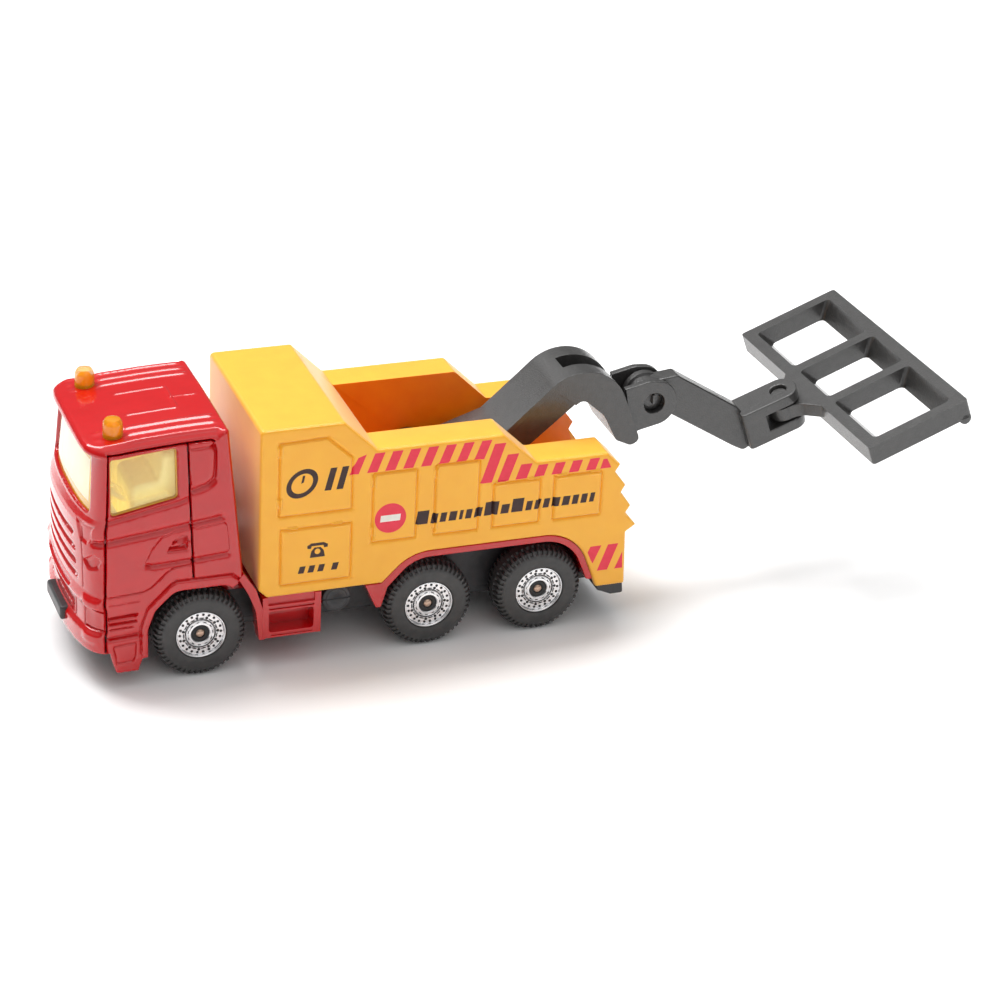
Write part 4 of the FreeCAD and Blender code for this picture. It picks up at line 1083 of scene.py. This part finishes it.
def roof_relief(back, side):
    """The roof's long ribs, its hatch line and the flats under the beacons."""
    side = abs(side)
    length = ease(back, -14.2, -12.6) * (0.55 + 0.45 * ease(back, -10.5, -8.5))
    length = length * (1 - ease(back, 2.2, 3.3))
    level = np.zeros_like(back)
    for place in (7.0, 8.85, 10.7):
        level += 0.22 * length * np.clip((0.62 - abs(side - place)) / 0.46, 0, 1)
    apart = np.hypot(back - BEACON_PLACE[0], side - BEACON_PLACE[1])
    level *= ease(apart, 1.6, 2.2)
    points = np.column_stack((back, side))
    hatch = line_distance([(-8.0, 3.4), (-1.3, 3.4), (-1.1, 3.2), (-1.1, 0.0)], points)
    level += 0.13 * np.clip((0.3 - hatch) / 0.26, 0, 1)
    joint = line_distance([(-1.1, 0.0), (2.4, 0.0)], points)
    level += 0.09 * np.clip((0.22 - joint) / 0.2, 0, 1)
    return level


def cab_shell():
    window = rounded(SIDE_WINDOW)
    rims = [(CAB_FOOT, 0.3), (WINDSCREEN_EDGE, 0.35), (window + window[:1], 0.3)]
    outline = CAB_FOOT + [(WRAP_END, EDGE_END), (0.0, EDGE_END)] + WINDSCREEN_EDGE[::-1]
    lines = [path for path, half, depth in CAB_GROOVES]
    lines += [[(0.0, height), (FRONT_END + 2, height)] for height in (8.0, 9.1, 12.2, 12.9, 14.6, 24.3,
        24.9, 25.9, 34.7, 35.0)]
    lines += [[(0.0, height), (along_side(reach) + 0.3, height)] for height, reach in GRILLE_ROWS]
    lines += [list(path) + [path[0]] for path, depth, wall in CAB_SINKS]
    lines += [[(0.0, level), (WRAP_END, level)] for level in np.linspace(EDGE_START - 0.2,
        EDGE_END - 0.25, 6)]
    points, triangles, kinds = sheet(outline, [window], lines, grid=0.5)
    rear_points, rear_triangles, _ = backing(outline, [window], grid=1.2)
    middles = points[triangles].mean(axis=1)
    # the door gaps and the gutter take the dark red of painted shade along their middles
    for path, half, depth in CAB_GROOVES[:3]:
        kinds[line_distance(path, middles) < 0.11] = 1
    wrap, level = points.T
    plain = cab_surface(wrap, level)
    over = ease(level, EDGE_START - 0.2, EDGE_START + 0.6)
    relief = cab_relief(points, rims) + over * roof_relief(plain[:, 0], plain[:, 1])
    outer, top = cab_face(points, plain, relief, True)
    inner, _ = cab_face(rear_points, cab_surface(*rear_points.T), -CAB_SKIN, False)
    cap_points, cap_triangles = roof_cap(plain[top][np.argsort(wrap[top])])

    def skip(a, b):
        """True where the rim's edge lies on the middle line, or where the roof joins on."""
        return (top[a] and top[b]) or (wrap[a] == wrap[b] and bool(on_seam(wrap[a])))

    walls = walls_between(points, triangles, rear_points, len(outer), skip)
    faces = triangles.tolist() + (rear_triangles[:, ::-1] + len(outer)).tolist() + walls
    half = len(outer) + len(inner)
    all_faces = faces + [[index + half for index in face[::-1]] for face in faces]
    all_faces += (cap_triangles + 2 * half).tolist()
    all_faces += (cap_triangles[:, ::-1] + 2 * half + len(cap_points)).tolist()
    mirror = np.array([1, -1, 1])
    stacked = [outer, inner, outer * mirror, inner * mirror, roof_points(cap_points, True),
        roof_points(cap_points, False)]
    tags = np.zeros(len(all_faces), dtype=int)
    tags[:len(kinds)] = tags[len(faces):len(faces) + len(kinds)] = kinds
    return piece("cab_shell", np.vstack(stacked), all_faces, [RED, GAP_SHADE], tags, smooth=40)


def cab_face(points, plain, relief, outside):
    """The wrapped sheet's places moved out by the relief, and which ones meet the roof."""
    wrap, level = points.T
    face = plain + cab_normals(wrap, level) * np.reshape(relief, (-1, 1))
    top = level > EDGE_END - 1e-6
    face[top] = roof_points(plain[top], outside)
    face[on_seam(wrap), 1] = 0
    return face, top


def on_seam(wrap):
    return (wrap < 1e-4) | (wrap > WRAP_END - 1e-4)


def roof_points(plain, outside):
    """Places on the roof's outer face, with its ribs, or on its plain inner face."""
    back, side = plain[:, 0], plain[:, 1]
    height = roof_height(back, side) + (roof_relief(back, side) if outside else -CAB_SKIN)
    return np.column_stack((back, side, height))


def roof_cap(rim):
    """Triangles over the roof inside its rounded edge; rim runs from front to rear, left side."""
    loop = np.array([tuple(p[:2]) for p in rim] + [(p[0], -p[1]) for p in rim[-2:0:-1]])
    lines = [[(-8.2, 3.4), (-1.0, 3.4)], [(-8.2, -3.4), (-1.0, -3.4)], [(-1.1, 3.6), (-1.1, -3.6)],
        [(-1.1, 0.0), (2.6, 0.0)]]
    extra = [beside(dense(line, 0.3, False), GROOVE_ROWS, False) for line in lines]
    back, side = np.meshgrid(np.arange(-17, 6, 0.3), np.arange(-12, 12.1, 0.2))
    extra = thinned(extra + [np.column_stack((back.ravel(), side.ravel()))], 0.06)
    extra = extra[depth_inside(loop, extra) > 0.06]
    found = delaunay_2d_cdt([Vector(p) for p in np.vstack((loop, extra))], closed_links(0, len(loop)),
        [], 1, 1e-7)
    return np.array([tuple(p) for p in found[0]]), np.array(found[2])


def cab_fittings():
    """The fender strips, mudguards, step boxes, deck and rivets of the same casting."""
    fender = [(25.2, 7.4), (23.5, 11.3), (25.9, 11.3), (30.2, 15.55, 7.0), (54.87, 15.55, 7.0),
        (58.0, 7.5), (57.0, 7.5), (54.1, 14.5, 6.0), (30.7, 14.5, 5.5), (26.9, 10.5), (26.0, 7.4)]
    pieces = [bevel(prism("fender", fender, -13.15, 13.15, "side", RED), 0.22, 2),
        block("deck", (4.2, 26.5), (-7.3, 7.3), (10.1, 11.3), RED)]
    for back, top in ((13.0, 10.3), (41.65, 14.7)):
        pieces.append(prism("rivet", circle(back, 0, 1.2), 4.25, top, "plan", RED))
        pieces.append(prism("rivet_head", circle(back, 0, 1.9, 32), 4.2, 4.65, "plan", RED))
    arch_lip = [(5.2, 14.7), (6.6, 12.2, 1.5), (7.7, 9.4, 2.0), (8.2, 4.7, 0.2), (9.15, 4.7, 0.2),
        (8.9, 9.0, 2.0), (7.7, 12.8, 1.5), (5.9, 15.6)]
    mouth = [(9.6, 5.75, 0.4), (16.05, 5.75, 0.4), (16.05, 9.0, 0.4), (9.6, 9.0, 0.4)]
    for hand in (1, -1):
        lip = prism("arch_lip", arch_lip, *sorted((hand * 11.0, hand * 13.1)), "side", RED)
        pieces.append(bevel(lip, 0.25))
        box = block("step_box", (8.65, 17.15), sorted((hand * 8.4, hand * 13.15)), (4.85, 11.3), RED)
        cut_away(box, [prism("mouth", mouth, hand * 10.6, hand * 14, "side", RED)])
        cut_away(box, [block("step_line", backs, (hand * side, hand * 14), heights, RED) for backs,
            side, heights in (((9.5, 16.2), 12.75, (10.0, 11.6)), ((9.6, 16.1), 12.85, (9.3, 9.6)),
            ((9.9, 15.9), 12.95, (5.15, 5.35)))])
        pieces.append(bevel(box, 0.16, 2, angle=40))
    return pieces


def cab():
    finish_piece("cab_and_chassis", [cab_shell()] + cab_fittings(), "truck", "red_enamel",
        "cab_casting")
    lining = [block("top", (-13.2, 4.6), (-11.7, 11.7), (15.7, 16.4), BASE),
        block("front", (-11.0, -10.2), (-11.7, 11.7), (6.5, 15.9), BASE)]
    finish_piece("wheel_housing", lining, "truck", "dark_plastic")


def glazing():
    """The clear moulding: windscreen and side panes with amber edges, and the roof beacons."""
    screen = [(-a, b) for a, b in WINDSCREEN_EDGE[::-1]] + WINDSCREEN_EDGE[1:-1]
    pieces = []
    for name, path, overlap, strip, pane, hands in (("screen", screen, 0.25, 1.25, SCREEN, (1,)),
            ("side", rounded(SIDE_WINDOW), 0.3, 0.16, GLAZING, (1, -1))):
        front = sheet(inset(path, -overlap), prints=[(inset(path, strip), 1)], grid=0.8, edge=0.5,
            rings=(0.3,))
        wrap, level = front[0].T
        plain, normal = cab_surface(wrap, level), cab_normals(wrap, level)
        for hand in hands:
            outer, inner = ((plain - normal * depth) * (1, hand, 1) for depth in (0.5, 1.0))
            pieces.append(shell(name, front, outer, front, inner, [AMBER_EDGE, pane], smooth=40))
    finish_piece("glazing_and_beacons", pieces + [beacon(1), beacon(-1)], "truck", "amber_clear",
        "window_insert")


def beacon(hand):
    skin = [(AXIS, 35.4), (1.4, 35.4), (1.42, 36.9), (1.38, 38.3), (1.28, 38.75), (1.02, 39.1),
        (0.6, 39.24), (AXIS, 39.28)]
    bulb = [(AXIS, 36.95), (1.15, 36.95), (1.1, 37.9), (0.8, 38.3), (AXIS, 38.4)]
    foot = [(AXIS, 35.5), (1.3, 35.5), (1.3, 36.8), (AXIS, 36.8)]
    middle = (BEACON_PLACE[0], hand * BEACON_PLACE[1])
    return joined("beacon", [turned(name, profile, surface, middle, count, upright=True) for name,
        profile, surface, count in (("beacon", skin, BEACON, 40), ("bulb", bulb, BULB, 24),
        ("foot", foot, AMBER_BASE, 40))])


def interior():
    """Cream floor, dashboard and seats, seen through the glazing; their faint glow is painted light."""
    floor = block("seat_floor", (-13.9, 3.3), (-11.2, 11.2), (16.65, 17.8), CREAM)
    dash = prism("dashboard", [(-13.7, 17.7), (-13.7, 25.6, 0.8), (-11.8, 27.4, 1.0),
        (-10.6, 24.6, 0.5), (-11.2, 17.7)], -11.0, 11.0, "side", CREAM)
    pieces = [floor, bevel(dash, 0.3)]
    seat = [(-9.2, 17.7), (-9.2, 29.2, 1.2), (-5.3, 29.7, 0.8), (-4.6, 33.6, 0.9), (-2.1, 33.9, 0.9),
        (-1.2, 17.7)]
    arm_rest = [(-9.4, 24.6, 0.4), (-9.3, 27.2, 0.9), (-4.0, 28.4, 0.6), (-4.0, 24.6, 0.4)]
    for hand in (1, -1):
        for name, outline, near, far, width, segments in (("seat", seat, 1.2, 9.9, 0.8, 4),
                ("arm_rest", arm_rest, 9.4, 11.1, 0.35, 3)):
            part = prism(name, outline, hand * near, hand * far, "side", CREAM)
            pieces.append(bevel(part, width, segments))
    ring = [(1.75 + 0.4 * math.cos(t), 0.4 * math.sin(t)) for t in np.linspace(0, math.tau, 13)[:-1]]
    column = [(AXIS, -2.6), (0.5, -2.6), (0.5, 0.0), (0.9, 0.1), (AXIS, 0.3)]
    wheel = joined("steering_wheel", [turned("ring", ring, CREAM, (0, 0), 40, upright=True),
        turned("column", column, CREAM, (0, 0), 20, upright=True), block("spoke", (-0.3, 0.3),
        (-1.8, 1.8), (-0.2, 0.2), CREAM)])
    to_axle = Matrix.Translation(Vector((FRONT_AXLE_X, 0, 0)) * MM)
    place = Matrix.Translation(Vector((10.4, 6.4, 27.2)) * MM)
    tilt = Matrix.Rotation(math.radians(-35), 4, "Y")
    wheel.data.transform(to_axle @ place @ tilt @ to_axle.inverted())
    finish_piece("seats_and_dashboard", pieces + [wheel], "truck", "cream_plastic", "interior_moulding")


# ---- floor, light and camera ---------------------------------------------------------------------

# the sky's strength, low down and overhead
SKY_LOW, SKY_HIGH = 0.2, 1.15
# soft lamps: (name, place in metres, width, depth, watts)
LAMPS = (("key", (0.30, -0.35, 0.55), 0.27, 0.27, 2.3), ("overhead", (0.03, -0.22, 0.80), 0.70, 0.24,
    5.0), ("fill", (-0.1, 0.8, 0.5), 0.7, 0.7, 1.1))
LAMP_TARGET = Vector((0, 0, 0.015))


def studio():
    reach = 3000
    corners = [(-reach, -reach, 0), (reach, -reach, 0), (reach, reach, 0), (-reach, reach, 0)]
    floor = piece("studio_floor", corners, [(0, 1, 2, 3)], [FLOOR])
    scene = bpy.context.scene
    world = bpy.data.worlds.new("studio")
    world.use_nodes = True
    tree = world.node_tree
    sky = tree.nodes["Background"]
    sky.inputs["Color"].default_value = (1.0, 1.0, 1.0, 1)
    strength = node(tree, "MapRange", {"From Min": 0.45, "To Min": SKY_LOW, "To Max": SKY_HIGH})
    place, split = node(tree, "TexCoord"), node(tree, "SeparateXYZ")
    wire(tree, (place, "Generated", split, "Vector"), (split, "Z", strength, "Value"),
        (strength, "Result", sky, "Strength"))
    scene.world = world
    for name, place, width, depth, power in LAMPS:
        lamp = bpy.data.lights.new(name, "AREA")
        lamp.shape = "RECTANGLE"
        lamp.size, lamp.size_y, lamp.energy = width, depth, power
        holder = bpy.data.objects.new(name, lamp)
        holder.location = place
        toward = LAMP_TARGET - holder.location
        holder.rotation_euler = toward.to_track_quat("-Z", "Y").to_euler()
        scene.collection.objects.link(holder)
    scene.view_settings.view_transform = "Standard"


# the photo's view: the lens on a 36 mm sensor, the camera's place from the front axle in mm,
# and its direction round the truck, downwards and rolled, in degrees
LENS = 117.03
CAMERA_PLACE = (103.157, 392.352, 230.661)
CAMERA_TURNS = (21.089, 27.152, 2.960)


def camera():
    lens = bpy.data.cameras.new("camera")
    lens.lens, lens.sensor_width, lens.clip_start = LENS, 36.0, 0.01
    azimuth, elevation, roll = (math.radians(angle) for angle in CAMERA_TURNS)
    right = Vector((-math.cos(azimuth), math.sin(azimuth), 0))
    ahead = Vector((-math.sin(azimuth) * math.cos(elevation), -math.cos(azimuth) * math.cos(elevation),
        -math.sin(elevation)))
    up = right.cross(ahead)
    turn = Matrix((right * math.cos(roll) + up * math.sin(roll),
        up * math.cos(roll) - right * math.sin(roll), -ahead)).transposed().to_4x4()
    holder = bpy.data.objects.new("camera", lens)
    place = Vector((FRONT_AXLE_X + CAMERA_PLACE[0], *CAMERA_PLACE[1:])) * MM
    holder.matrix_world = Matrix.Translation(place) @ turn
    bpy.context.scene.collection.objects.link(holder)
    bpy.context.scene.camera = holder


superstructure()
cab()
glazing()
interior()
wheels()
base_plate()
boom()
arm()
lifting_frame()
studio()
camera()

bpy.context.view_layer.update()
